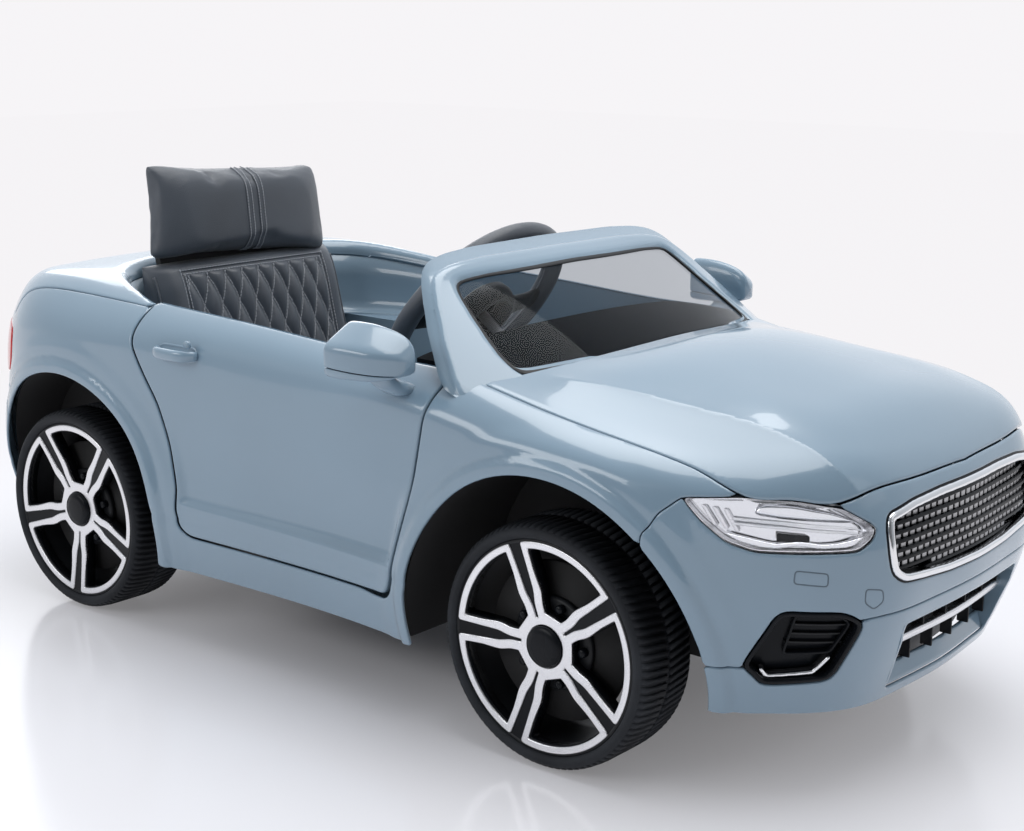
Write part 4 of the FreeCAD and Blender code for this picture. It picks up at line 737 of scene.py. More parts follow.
SHAPES = {
    "door": side_field(DOOR, 10), "bumper": side_field(BUMPER), "lip": side_field(LIP, 14),
    "rear": side_field(REAR_BUMPER),
    "hood": hood_field, "mouth": mouth_field, "headlight": front_corner_field(HEADLIGHT),
    "fog": front_corner_field(FOG, 10),
    "tail_lamp": rear_corner_field, "grille": nose_field(GRILLE, 7), "intake": nose_field(INTAKE, 5),
    "arch": arch_field,
    "deck": lambda p: np.maximum.reduce([-p[:, 1] - 252, p[:, 0] + 256, 338.4 - p[:, 2]]),
    "sill": lambda p: SILL - p[:, 2],
}


def doorway_field(p):
    """Opening of a door, wider at its low front corner, which dips as the door swings out."""
    front, low = smooth_step(p[:, 0], 92, 122), smooth_step(-p[:, 2], -168, -138)
    return SHAPES["door"](p) - 2.8 * front * low


SHAPES["doorway"] = doorway_field


def region(inside=(), outside=()):
    """Field of what lies in all the first shapes and out of the others; outside entries are (name, gap)."""
    def field(p):
        value = SHAPES["sill"](p)
        for name in inside:
            value = np.maximum(value, SHAPES[name](p))
        for name, gap in outside:
            value = np.maximum(value, gap - SHAPES[name](p))
        return value
    return field


class BuildBody(bpy.types.Operator):
    """Build the painted body panels"""
    bl_idname = "car.body"
    bl_label = "Body panels"

    def execute(self, context):
        body = context.scene.car_body
        grid = body_grid(body.flare)
        GRIDS["body"] = grid
        make = lambda field, **k: panel(grid, field, edge=body.edge, wall=body.wall, **k)
        side_holes = [("mouth", 0), ("doorway", DOOR_GAP)]
        side_holes += [(name, GAP) for name in ("hood", "bumper", "rear", "deck", "tail_lamp", "headlight")]
        arch = lambda field: lambda p: np.maximum(field(p), np.where(p[:, 1] < -150, SHAPES["arch"](p), -1e3))
        roll = rolled(lambda p: np.where(p[:, 0] < -226, -SHAPES["mouth"](p), -100.0), ROLL)
        ridge_y = lambda x: np.interp(x, (290, 324, 379, 570, 604), (191, 186, 181, 177, 164))
        ridge = (lambda p: np.abs(p[:, 1]) - ridge_y(p[:, 0]), (-26, -14, -7, -3, 0, 3, 7, 14, 26),
                 lambda v, p, n: n * (2.4 * np.exp(-np.abs(v) / 11) * smooth_step(p[:, 0], 262, 300))[:, None])
        lines = {"rear_deck": [roll], "hood": [ridge]}
        thin_at_door = lambda p: body.wall - (body.wall - THIN_WALL) * smooth_step(-SHAPES["door"](p), -14, -4)
        side = panel(grid, arch(region((), side_holes)), edge=body.edge, wall=thin_at_door, lines=[roll])
        for hand, shape in (("right", side), ("left", flipped(side))):
            settle(piece("side_panel_" + hand, *shape, "paint"), "car", "body_plastic", "body_side_" + hand)
        nose_holes = [("hood", GAP), ("lip", GAP), ("grille", GRILLE_GAP), ("headlight", GAP), ("fog", GAP)]
        panels = {
            "hood": region(("hood",)),
            "rear_deck": region(("deck",), [("mouth", 0), ("rear", GAP), ("tail_lamp", GAP)]),
            "front_bumper": arch(region(("bumper",), nose_holes)),
            "front_lip": arch(region(("bumper", "lip"), [("intake", GAP), ("fog", GAP)])),
            "rear_bumper": arch(region(("rear",), [("tail_lamp", GAP)])),
        }
        for node, field in panels.items():
            made = make(field, weld=True, lines=lines.get(node, ()))
            settle(piece(node + "_panel", *made, "paint"), "car", "body_plastic", node)
        shelf = (lambda p: p[:, 2] - 165 + 0.012 * p[:, 0], (-2, 0, 1.5, 4, 8, 13, 19, 27, 38, 52, 70, 90),
                 self.scallop)
        door = panel(grid, lambda p: np.maximum(region(("door",))(p), p[:, 1] + 242), edge=2.4, lines=[shelf],
                     inner=lambda p: np.stack((p[:, 0], np.full(len(p), DOOR_BACK), p[:, 2]), 1))
        for hand, shape in (("right", door), ("left", flipped(door))):
            settle(piece("door_shell_" + hand, *shape, "paint"), "door_" + hand, "body_plastic", "door_" + hand)
            dress("door_panel_" + hand, "paint")
        return {"FINISHED"}

    def scallop(self, value, points, normals):
        """Hollow over the low crease of a door, deepest at the front."""
        up = np.clip(value / 12, 0, 1)
        deepest = 4.2 + 5.3 * smooth_step(points[:, 0], -170, 110)
        depth = (1 - (1 - up) ** 2) * (1 - smooth_step(value, 14, 92)) * deepest
        return -normals * (depth * smooth_step(-SHAPES["door"](points), 1.5, 13))[:, None]


GRIDS = {}


# Copies and stitches, by Geometry Nodes.

class Steps:
    """A Geometry Nodes tree with named inputs."""

    def __init__(self, name, **inputs):
        self.tree = bpy.data.node_groups.new(name, "GeometryNodeTree")
        self.tree.interface.new_socket("Geometry", in_out="INPUT", socket_type="NodeSocketGeometry")
        for label, (kind, default) in inputs.items():
            socket = self.tree.interface.new_socket(label, in_out="INPUT", socket_type="NodeSocket" + kind)
            if default is not None:
                socket.default_value = default
        self.tree.interface.new_socket("Geometry", in_out="OUTPUT", socket_type="NodeSocketGeometry")
        self.given = self.tree.nodes.new("NodeGroupInput").outputs

    def node(self, kind, settings=None, output=0, **values):
        node = self.tree.nodes.new(kind)
        for key, value in (settings or {}).items():
            setattr(node, key, value)
        for name, value in values.items():
            socket = next(s for s in node.inputs if s.name == name.replace("_", " ") and s.enabled)
            if isinstance(value, bpy.types.NodeSocket):
                self.tree.links.new(value, socket)
            else:
                socket.default_value = value
        return node.outputs[output]

    def end(self, instances):
        solid = self.node("GeometryNodeRealizeInstances", Geometry=instances)
        coloured = self.node("GeometryNodeSetMaterial", Geometry=solid, Material=self.given["Finish"])
        self.tree.links.new(coloured, self.tree.nodes.new("NodeGroupOutput").inputs["Geometry"])
        return self.tree


def ring_tree():
    """Copies of a shape turned about the Y axis."""
    s = Steps("ring_of_copies", Shape=("Object", None), Count=("Int", 8), Finish=("Material", None))
    spots = s.node("GeometryNodePoints", Count=s.given["Count"])
    step = s.node("ShaderNodeMath", {"operation": "DIVIDE"}, Value=math.tau)
    s.tree.links.new(s.given["Count"], step.node.inputs[1])
    angle = s.node("ShaderNodeMath", {"operation": "MULTIPLY"}, Value=s.node("GeometryNodeInputIndex"))
    s.tree.links.new(step, angle.node.inputs[1])
    turn = s.node("FunctionNodeEulerToRotation", Euler=s.node("ShaderNodeCombineXYZ", Y=angle))
    shape = s.node("GeometryNodeObjectInfo", None, "Geometry", Object=s.given["Shape"])
    return s.end(s.node("GeometryNodeInstanceOnPoints", Points=spots, Instance=shape, Rotation=turn))


def spots_tree():
    """Copies of a shape on every vertex, turned by the vertex's own angles."""
    s = Steps("copies_on_spots", Shape=("Object", None), Finish=("Material", None))
    turn = s.node("GeometryNodeInputNamedAttribute", {"data_type": "FLOAT_VECTOR"}, Name="turn")
    turn = s.node("FunctionNodeEulerToRotation", Euler=turn)
    shape = s.node("GeometryNodeObjectInfo", None, "Geometry", Object=s.given["Shape"])
    return s.end(s.node("GeometryNodeInstanceOnPoints", Points=s.given["Geometry"], Instance=shape, Rotation=turn))


def stitch_tree():
    """Short threads laid end to end along every edge path."""
    s = Steps("stitches", Step=("Float", 0.0044), Length=("Float", 0.0033), Radius=("Float", 0.0005),
              Finish=("Material", None))
    path = s.node("GeometryNodeMeshToCurve", Mesh=s.given["Geometry"])
    path = s.node("GeometryNodeResampleCurve", {"mode": "LENGTH"}, Curve=path, Length=s.given["Step"])
    along = s.node("FunctionNodeAlignRotationToVector", {"axis": "Z"}, Vector=s.node("GeometryNodeInputTangent"))
    thread = s.node("GeometryNodeMeshCylinder", Vertices=6, Radius=s.given["Radius"], Depth=s.given["Length"])
    return s.end(s.node("GeometryNodeInstanceOnPoints", Points=path, Instance=thread, Rotation=along))


TREES = {}


def grown(tree_name, carrier, finish, shape=None, **values):
    """Plain mesh object made by a tree on a carrier object."""
    if tree_name not in TREES:
        TREES[tree_name] = {"ring": ring_tree, "spots": spots_tree, "stitches": stitch_tree}[tree_name]()
    tree = TREES[tree_name]
    modifier = carrier.modifiers.new("copies", "NODES")
    modifier.node_group = tree
    values.update(Finish=FINISHES[finish])
    if shape:
        values["Shape"] = shape
    for socket in tree.interface.items_tree:
        if socket.in_out == "INPUT" and socket.name in values:
            modifier[socket.identifier] = values[socket.name]
    mesh = bpy.data.meshes.new_from_object(carrier.evaluated_get(bpy.context.evaluated_depsgraph_get()))
    carrier.modifiers.clear()
    carrier.data = mesh
    if shape:
        bpy.data.objects.remove(shape)
    return carrier


def carrier_object(name, points=((0, 0, 0),), paths=(), turns=None):
    """Vertices, or edge paths, in millimetres for a tree to work on."""
    mesh = bpy.data.meshes.new(name)
    if len(paths):
        points, edges = [], []
        for path in paths:
            start = len(points)
            points += list(path)
            edges += [(start + i, start + i + 1) for i in range(len(path) - 1)]
        mesh.from_pydata([tuple(np.array(p) * MM) for p in points], edges, [])
    else:
        mesh.from_pydata([tuple(np.array(p) * MM) for p in points], [], [])
    if turns is not None:
        mesh.attributes.new("turn", "FLOAT_VECTOR", "POINT").data.foreach_set("vector", np.ravel(turns))
    obj = bpy.data.objects.new(name, mesh)
    bpy.context.scene.collection.objects.link(obj)
    return obj


def copies(name, shape, points, finish, turns=None):
    """Copies of a shape on points, each turned by its own angles."""
    turns = np.zeros((len(points), 3)) if turns is None else turns
    return grown("spots", carrier_object(name, points, turns=turns), finish,
                 piece(name + "_one", *shape, finish, smooth=False))


def stitches(name, paths, step):
    """Sewn threads along paths, a step in millimetres from one to the next."""
    return grown("stitches", carrier_object(name, paths=paths), "thread", Step=step * MM, Length=0.8 * step * MM,
                 Radius=0.72 * MM)


# Grids cut from the body, and small panels on them.

def finer(grid, near, times=4):
    """Window of a grid round the points where near holds, with more rows and columns."""
    mask = near(grid[0].reshape(-1, 3)).reshape(grid[0].shape[:2])
    columns, rows = np.flatnonzero(mask.any(1)), np.flatnonzero(mask.any(0))
    window = [a[max(columns[0] - 2, 0):columns[-1] + 3, max(rows[0] - 2, 0):rows[-1] + 3] for a in grid]

    def stretch(a, axis):
        n = a.shape[axis]
        where = np.linspace(0, n - 1, (n - 1) * times + 1)
        flat = np.moveaxis(a, axis, 0)
        new = cubic(np.arange(n), flat.reshape(n, -1), where)
        return np.moveaxis(new.reshape((len(where),) + flat.shape[1:]), 0, axis)

    points, normals = [stretch(stretch(a, 0), 1) for a in window]
    return points, normals / np.linalg.norm(normals, axis=2)[..., None]


def sunk(grid, depth):
    """Grid moved inwards, with the points on the car's middle kept there."""
    points, normals = grid
    inward = normals * depth
    inward[..., 1] *= np.clip(np.abs(points[..., 1]) / 12, 0, 1)
    return points - inward, normals


def shifted(grid, ahead):
    return grid[0] + (ahead, 0, 0), grid[1]


def band(field, wide):
    """Strip of a given width just inside a field's edge."""
    return lambda p: np.maximum(field(p), -field(p) - wide)


def corner_grid(shape, times=4):
    """Finer window of the body round one of its shapes."""
    return finer(GRIDS["body"], lambda p: SHAPES[shape](p) < 14, times)


def both_hands(name, shape, finish, body, slot, node=None, **options):
    """Right piece and its left twin."""
    for hand, made in (("right", shape), ("left", flipped(shape))):
        rides = body + "_" + hand if body != "car" else "car"
        settle(piece(name + "_" + hand, *made, finish, **options), rides, slot,
               *([node + "_" + hand] if node else []))


def nose_x(y, z):
    """Where the nose is, for points of (y, z)."""
    points = GRIDS["body"][0][:150, :SIDE_ROWS]
    y, z = np.abs(np.ravel(y)), np.ravel(z)
    out = np.zeros(len(y))
    for i, (a, b) in enumerate(zip(y, z)):
        row = np.argmin(np.abs(points[0, :, 2] - b))
        line = points[:, row]
        out[i] = np.interp(a, -line[:, 1], line[:, 0])
    return out


class BuildLamps(bpy.types.Operator):
    """Build the headlights, fog pockets and tail lamps"""
    bl_idname = "car.lamps"
    bl_label = "Lamps"

    def execute(self, context):
        grid = corner_grid("headlight")
        lamp = SHAPES["headlight"]
        inside = front_corner_field
        cover = lambda p: np.maximum(lamp(p) + 0.2, 1.0 - SHAPES["hood"](p))
        both_hands("headlight_lens", panel(grid, cover, 0.9, 2.2), "lens", "car", "clear_plastic", "headlight_lens")
        both_hands("headlight_seal", panel(sunk(grid, 2.4), band(lambda p: lamp(p) - 0.7, 1.5), 0.4, 4), "gloss",
                   "car", "black_plastic")
        both_hands("headlight_back", panel(sunk(grid, 15), lamp, 0.8, 3), "chrome", "car", "bright_trim",
                   "headlight_bowl")
        both_hands("headlight_wall", panel(sunk(grid, 4), band(lamp, 1.4), 0.4, 12), "silver", "car", "bright_trim")
        upper = inside([(-30, 287), (0, 286.5), (38, 279), (60, 269), (-10, 274), (-36, 277)], 8)
        lower = inside([(-62, 262), (-48, 254), (-30, 250), (-14, 249.5), (0, 252.5), (22, 249.5), (50, 250),
                        (64, 259), (40, 254.5), (22, 253.5), (4, 256.5), (-18, 254), (-40, 258)], 5)
        both_hands("headlight_upper_reflector", panel(sunk(grid, 8), upper, 4.5, 6), "chrome", "car", "bright_trim")
        both_hands("headlight_lower_trim", panel(sunk(grid, 5), lower, 1.6, 6), "chrome", "car", "bright_trim")
        bars = [panel(sunk(grid, 5), inside([(-52, 272.5 - d), (-10, 270.5 - d), (52, 265 - d), (63, 262 - d),
                                             (52, 267 - d), (-10, 272.7 - d), (-53, 274.6 - d)], 0.8), 0.8, 5)
                                             for d in (0, 4.2)]
        both_hands("headlight_bar", joined(*bars), "bulb", "car", "clear_plastic")
        teeth = [panel(sunk(grid, 7), inside([(-78 + k, 283 - 0.1 * k), (-74 + k, 283 - 0.1 * k),
                                              (-64 + k, 266 - 0.2 * k), (-68 + k, 266 - 0.2 * k)], 0.8), 1.0, 7)
                                              for k in (0, 9, 18)]
        both_hands("headlight_teeth", joined(*teeth), "silver", "car", "bright_trim")
        sensor = inside([(-16, 263), (-16, 255.5), (12, 255.5), (12, 261)], 1.2)
        both_hands("headlight_sensor", panel(sunk(grid, 6), sensor, 0.8, 8), "gloss", "car", "black_plastic")
        self.fog()
        self.tail()
        return {"FINISHED"}

    def fog(self):
        grid, hole, inside = corner_grid("fog"), SHAPES["fog"], front_corner_field
        rim = panel(grid, band(lambda p: hole(p) + 0.4, 4.0), 1.6, 16)
        floor = panel(sunk(grid, 14), hole, 0.5, 3)
        box = inside([(3, 189), (44, 187), (56, 178), (40, 148), (-5, 147)], 5)
        cup = panel(sunk(grid, 8), band(box, 2.6), 1.2, 8)
        sensor = panel(sunk(grid, 11), inside([(-18, 172), (-12, 172), (-12, 178), (-18, 178)], 3), 0.8, 4)
        pocket = joined(rim, floor, cup, sensor)
        settle(piece("fog_pocket_pair", *joined(pocket, flipped(pocket)), "gloss"), "car", "black_plastic",
               "fog_pockets")
        ribs = [panel(sunk(grid, 11), inside([(4 - 0.3 * k, 186 - k), (52, 184 - k), (52, 182 - k),
                                              (4 - 0.3 * k, 184 - k)], 0.6), 0.6, 4) for k in (7, 16, 25)]
        both_hands("fog_ribs", joined(*ribs), "black", "car", "black_plastic")
        low = inside([(-24, 133), (-18, 122.5), (26, 127.5), (40, 146), (36, 146), (24, 131.5), (-15, 127),
                      (-20.5, 134)], 1.6)
        both_hands("fog_trim", panel(sunk(grid, 4), low, 1.6, 7), "chrome", "car", "bright_trim")

    def tail(self):
        grid = corner_grid("tail_lamp")
        lamp = SHAPES["tail_lamp"]
        both_hands("tail_lens", panel(grid, lambda p: lamp(p) + 0.6, 2.4, 9, raise_by=1.0), "red", "car",
                   "red_plastic", "tail_lamp")


class BuildNose(bpy.types.Operator):
    """Build the grille, the intake and the painted-shade lines round the covers of the bumper"""
    bl_idname = "car.nose"
    bl_label = "Nose trim"

    def execute(self, context):
        grille = SHAPES["grille"]
        grid = corner_grid("grille", 3)
        settle(piece("grille_rim", *panel(grid, band(grille, 7.0), 2.6, 12, raise_by=1.8, weld=True), "chrome"),
               "car", "bright_trim", "grille_frame")
        settle(piece("grille_outline", *panel(sunk(grid, 0.6), lambda p: np.maximum(grille(p) - 1.9, -grille(p) - 1),
                                              0.5, 8, weld=True), "gloss"), "car", "black_plastic")
        heights = 215.5 + 7.9 * np.arange(8)
        slats = [panel(sunk(grid, 7), lambda p, z=z: np.maximum(np.abs(p[:, 2] - z) - 1.7, grille(p) + 6.5), 0.8, 7,
                       weld=True) for z in heights]
        back = panel(sunk(grid, 17), lambda p: grille(p) + 4, 0.5, 3, weld=True)
        settle(piece("grille_slats", *joined(back, *slats), "gloss"), "car", "black_plastic", "grille_bars")
        levels = enumerate(heights[:-1] + 3.95)
        spots = np.array([((column + 0.5 * (row % 2)) * 10.6, z) for row, z in levels for column in range(-14, 15)])
        spots = spots[polygon_distance(spots, mirrored_outline(GRILLE)) < -11]
        x = nose_x(spots[:, 0], spots[:, 1])
        yaw = np.arctan2(x - nose_x(np.abs(spots[:, 0]) + 4, spots[:, 1]), 4.0) * np.sign(spots[:, 0])
        post = soft_block((-4, -3.4, -3.2), (2.5, 3.4, 3.2), 0.7)
        places = np.stack((x - 11, spots[:, 0], spots[:, 1]), 1)
        settle(copies("grille_posts", post, places, "steel", np.stack((0 * yaw, 0 * yaw, yaw), 1)), "car",
               "bright_trim")
        self.intake()
        self.covers()
        return {"FINISHED"}

    def intake(self):
        """Tray with a bright bar, and the chin plate that slopes out below it."""
        hole = SHAPES["intake"]
        grid = corner_grid("intake", 3)
        settle(piece("intake_tray", *panel(sunk(grid, 30), hole, 0.5, 3, weld=True), "black"), "car", "black_plastic",
               "intake_insert")
        strip = lambda low, high: lambda p: np.maximum.reduce([hole(p) + 1.0, low - p[:, 2], p[:, 2] - high])
        settle(piece("intake_bar", *panel(sunk(grid, 7), strip(141, 150), 3.2, 10, weld=True), "silver"), "car",
               "bright_trim")
        slope = 3 + 15 * np.clip((grid[0][..., 2:] - 98) / 16, 0, 1)
        chin = sunk(grid, slope)
        settle(piece("chin_plate", *panel(chin, strip(90, 114), 1.4, 3, weld=True), "paint"), "car", "body_plastic")
        edge = np.array([(105, 97), (107.5, 110), (111, 130), (115, 150), (117, 160), (117, 167)], float)
        x = nose_x(edge[:, 0], edge[:, 1]) - 0.6
        rings = [[(a, -y, z), (a - 26, 3 - y, z), (a - 26, -y - 3, z), (a, -y - 3, z)] for a, (y, z) in zip(x, edge)]
        both_hands("intake_cheek", loft(rings), "paint", "car", "body_plastic", smooth=False)
        y = np.array((-108, -66, -22, 22, 66, 108.0)) * 0.95
        x = nose_x(y, np.full(6, 140.0))
        for name, z, fin in (("upper", 158, soft_block((-8, -1, -8), (6, 1, 8), 0.5)),
                             ("lower", 127, soft_block((-18, -1, -12), (-6, 1, 12), 0.5))):
            settle(copies("intake_%s_fins" % name, fin, np.stack((x - 12, y, np.full(6, z)), 1), "black"), "car",
                   "black_plastic")

    def covers(self):
        """Fine dark lines of painted shade round the two covers on the bumper, standing for the shade in their
        grooves.
        """
        for name, outline in (("tow_cover", [(-2, 233), (28, 230), (28, 217), (-3, 220)]),
                              ("nose_cover", [(62, 214), (80, 211), (82, 199), (72, 192), (62, 200)])):
            field = front_corner_field(outline, 4)
            grid = finer(GRIDS["body"], lambda p: field(p) < 8, 10)
            # A band 0.25 mm proud in the darkened groove finish: painted shade, not a cut groove.
            both_hands(name, panel(grid, band(field, 1.3), 0.3, 2.5, raise_by=0.25), "groove", "car", "body_plastic")


# Windscreen on its sloping sheet.

SCREEN = [(0, 366), (140, 362), (206, 357), (210, 372), (201, 400), (191, 428), (181, 437), (140, 440), (0, 442)]
FRAME = [(0, 457), (120, 456), (165, 453.5), (190, 449.5), (206, 442.5), (218, 431), (228, 418), (300, 316),
         (300, 300), (0, 300)]


def screen_grid():
    """Front face of the frame: columns across, rows upwards."""
    high = np.linspace(332, 457, 60)
    share = (high - 330) / 127
    middle, side, half = [a + (b - a) * share for a, b in ((370, 120), (234, 115), (283, 207.6))]
    across = np.linspace(-1, 1, 161)[:, None]
    points = np.stack((middle - (middle - side) * across ** 2, half * across, np.broadcast_to(high, (161, 60))), 2)
    normals = -grid_normals(points)
    return points, normals


class BuildScreen(bpy.types.Operator):
    """Build the windscreen frame, its seal and the screen"""
    bl_idname = "car.screen"
    bl_label = "Windscreen"

    def execute(self, context):
        grid = screen_grid()
        frame_outline, hole = rounded(mirrored_outline(FRAME), 12), rounded(mirrored_outline(SCREEN), 14)
        flat = lambda p: p[:, 1:]
        rests = lambda p: crown_height(p[:, 0], p[:, 1]) - 7 - p[:, 2]
        side = lambda p: np.abs(p[:, 1]) - (283 - 75.4 * (p[:, 2] - 330) / 127)
        frame_field = lambda p: np.maximum.reduce([polygon_distance(flat(p), frame_outline),
                                                   np.hypot(np.maximum(side(p) + 14.01, 0),
                                                            np.maximum(rests(p) + 14, 0)) - 14,
                                                            -polygon_distance(flat(p), hole)])
        shape = panel(grid, frame_field, 6.0, back=(-18, 0, 0), round_back=True)
        settle(piece("windscreen_surround", *shape, "paint"), "car", "body_plastic", "windscreen_frame")
        seal = lambda p: np.maximum.reduce([polygon_distance(flat(p), hole) - 1.0,
                                            -polygon_distance(flat(p), hole) - 3.6, rests(p)])
        settle(piece("windscreen_seal", *panel(shifted(grid, -5.5), seal, 1.2, back=(-7, 0, 0)), "black"), "car",
               "black_plastic")
        glass = lambda p: np.maximum(polygon_distance(flat(p), hole) + 0.6, rests(p))
        settle(piece("windscreen_sheet", *panel(shifted(grid, -9), glass, 0.6, back=(-3, 0, 0)), "screen"), "car",
               "clear_plastic", "windscreen")
        return {"FINISHED"}


# Cockpit.

SHELF = 300.5
TO_DRIVER = Matrix(((0, 0, -1), (0, 1, 0), (1, 0, 0)))


class BuildCockpit(bpy.types.Operator):
    """Build the tub with its rounded collar, and the dashboard's fittings"""
    bl_idname = "car.cockpit"
    bl_label = "Cockpit"

    def execute(self, context):
        lower = bmesh.new()
        lower.from_mesh(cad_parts["cockpit_tub"].data)
        bmesh.ops.remove_doubles(lower, verts=lower.verts, dist=1e-5)
        everything = lower.verts[:] + lower.edges[:] + lower.faces[:]
        cut = bmesh.ops.bisect_plane(lower, geom=everything, plane_co=(0, 0, SHELF * MM), plane_no=(0, 0, 1),
                                     clear_outer=True)
        rim = [e for e in cut["geom_cut"] if isinstance(e, bmesh.types.BMEdge)]
        bmesh.ops.triangle_fill(lower, edges=rim, use_beauty=True)
        lower.verts.index_update()
        points = [tuple(v.co / MM) for v in lower.verts]
        faces = [tuple(v.index for v in f.verts) for f in lower.faces]
        lower.free()
        settle(piece("tub", points, faces, "paint", smooth=False), "car", "body_plastic", "cockpit_tub")
        self.collar()
        self.dash()
        return {"FINISHED"}

    def collar(self):
        """Wall that drops from the rolled edge of the deck to the shelf."""
        edge = mouth_curve()
        top = crown_height(edge[:, 0], edge[:, 1]) - ROLL + 1.0
        tangent = np.gradient(edge, axis=0)
        inward = np.stack((tangent[:, 1], -tangent[:, 0]), 1) / np.linalg.norm(tangent, axis=1)[:, None]
        rings = []
        for (x, y), high, (nx, ny) in zip(edge, top, inward):
            profile = [(-0.4, high), (0.6, 0.6 * high + 0.4 * 303), (1.5, 318), (4, 308), (9, 303.2), (16, 302),
                       (16, 299), (6, 299.5), (-2, 306), (-3.6, 318), (-3.6, high)]
            rings.append([(x + nx * d, y + ny * d, z) for d, z in profile])
        settle(piece("cockpit_collar", *loft(rings), "paint"), "car", "body_plastic")

    def dash(self):
        """Vents, a cluster hood and the surrounds of the switches."""
        face = 131.6
        shapes = []
        for y in (-185, 185):
            vent = turned([(17, 0), (21, 0), (22, 3), (20, 5.5), (17, 4)], 40, "z")
            shapes.append(moved(vent, (face, y, 305), TO_DRIVER))
            shapes += [soft_block((face - 3, y - 16.5, z - 1), (face, y + 16.5, z + 1), 0.5) for z in (297, 305, 313)]
        for y in (-120, 120):
            surround = turned([(18, 0), (21, 0), (21, 1.5), (18.5, 2.5)], 40, "z")
            shapes.append(moved(surround, (face, y, 300), TO_DRIVER))
        path = [(face - 6 - 4 * math.cos(a), 70 * math.sin(a), 330 + 20 * math.cos(a))
                for a in np.linspace(-1.35, 1.35, 25)]
        shapes.append(sweep(path, ring_of_points(12, 8, 3.5), up=(1, 0, 0)))
        settle(piece("dash_fittings", *joined(*shapes), "gloss"), "car", "black_plastic")
        dress("dashboard", "dash")


# Wheels.

def wrapped_normals(points):
    """Normals of a grid whose last column meets its first."""
    return grid_normals(np.concatenate((points[-2:], points, points[:2])))[2:-2]


def wheel_grid(low, high, rows, depth):
    """Round face of a wheel: columns round it, rows outwards."""
    angle = np.linspace(0, math.tau, 320, endpoint=False)[:, None]
    radius = np.linspace(low, high, rows)[None, :]
    points = np.stack((radius * np.cos(angle), depth(radius) + 0 * angle, radius * np.sin(angle)), 2)
    normals = wrapped_normals(points)
    return points, normals * np.sign(normals[..., 1:2])


def spoke_field(spokes):
    """Distance to the nearest window between spoke pairs, negative inside it."""
    outlines = []
    for k in range(spokes):
        left, right = math.tau * k / spokes, math.tau * (k + 1) / spokes
        corner = lambda a, r, off: (r * math.cos(a) - off * math.sin(a), r * math.sin(a) + off * math.cos(a))
        side = ((27, 1.2), (42, 1.6), (55, 4.8), (101.5, 6.6))
        outline = [corner(left, r, gap) for r, gap in side]
        outline += [(102.5 * math.cos(a), 102.5 * math.sin(a)) for a in np.linspace(left + 0.1, right - 0.1, 14)]
        outline += [corner(right, r, -gap) for r, gap in reversed(side)]
        outlines.append(rounded(outline, 3.5))
    return lambda p: np.minimum.reduce([polygon_distance(p[:, (0, 2)], o) for o in outlines])


def tyre_shapes(blocks):
    """Tyre body, and one pair of tread blocks for a ring."""
    half = [(103.5, 30), (105, 38), (108.5, 41.2), (112, 41.4), (115, 39), (117, 34), (117.6, 22), (117.8, 0)]
    profile = [(r, y) for r, y in half] + [(r, -y) for r, y in reversed(half) if y]
    body = turned(profile, 144)
    pitch = math.tau * 118 / blocks
    w = 0.36 * pitch
    block = []
    for sign, shift in ((1, 0.0), (-1, 0.5 * pitch)):
        low, high = [], []
        for y, lean, top in ((2.2, 0.0, 119.9), (24, 2.2, 119.7), (34, 4.2, 118.4), (38.5, 5.4, 115.6)):
            for edge in (-w, w):
                low.append((114.5 if y < 38 else 113, sign * y, shift + lean + edge))
                high.append((top, sign * y, shift + lean + edge * 0.9))
        order = [0, 2, 4, 6, 7, 5, 3, 1]
        block.append(loft([[low[i] for i in order], [high[i] for i in order]]))
    return body, joined(*block)


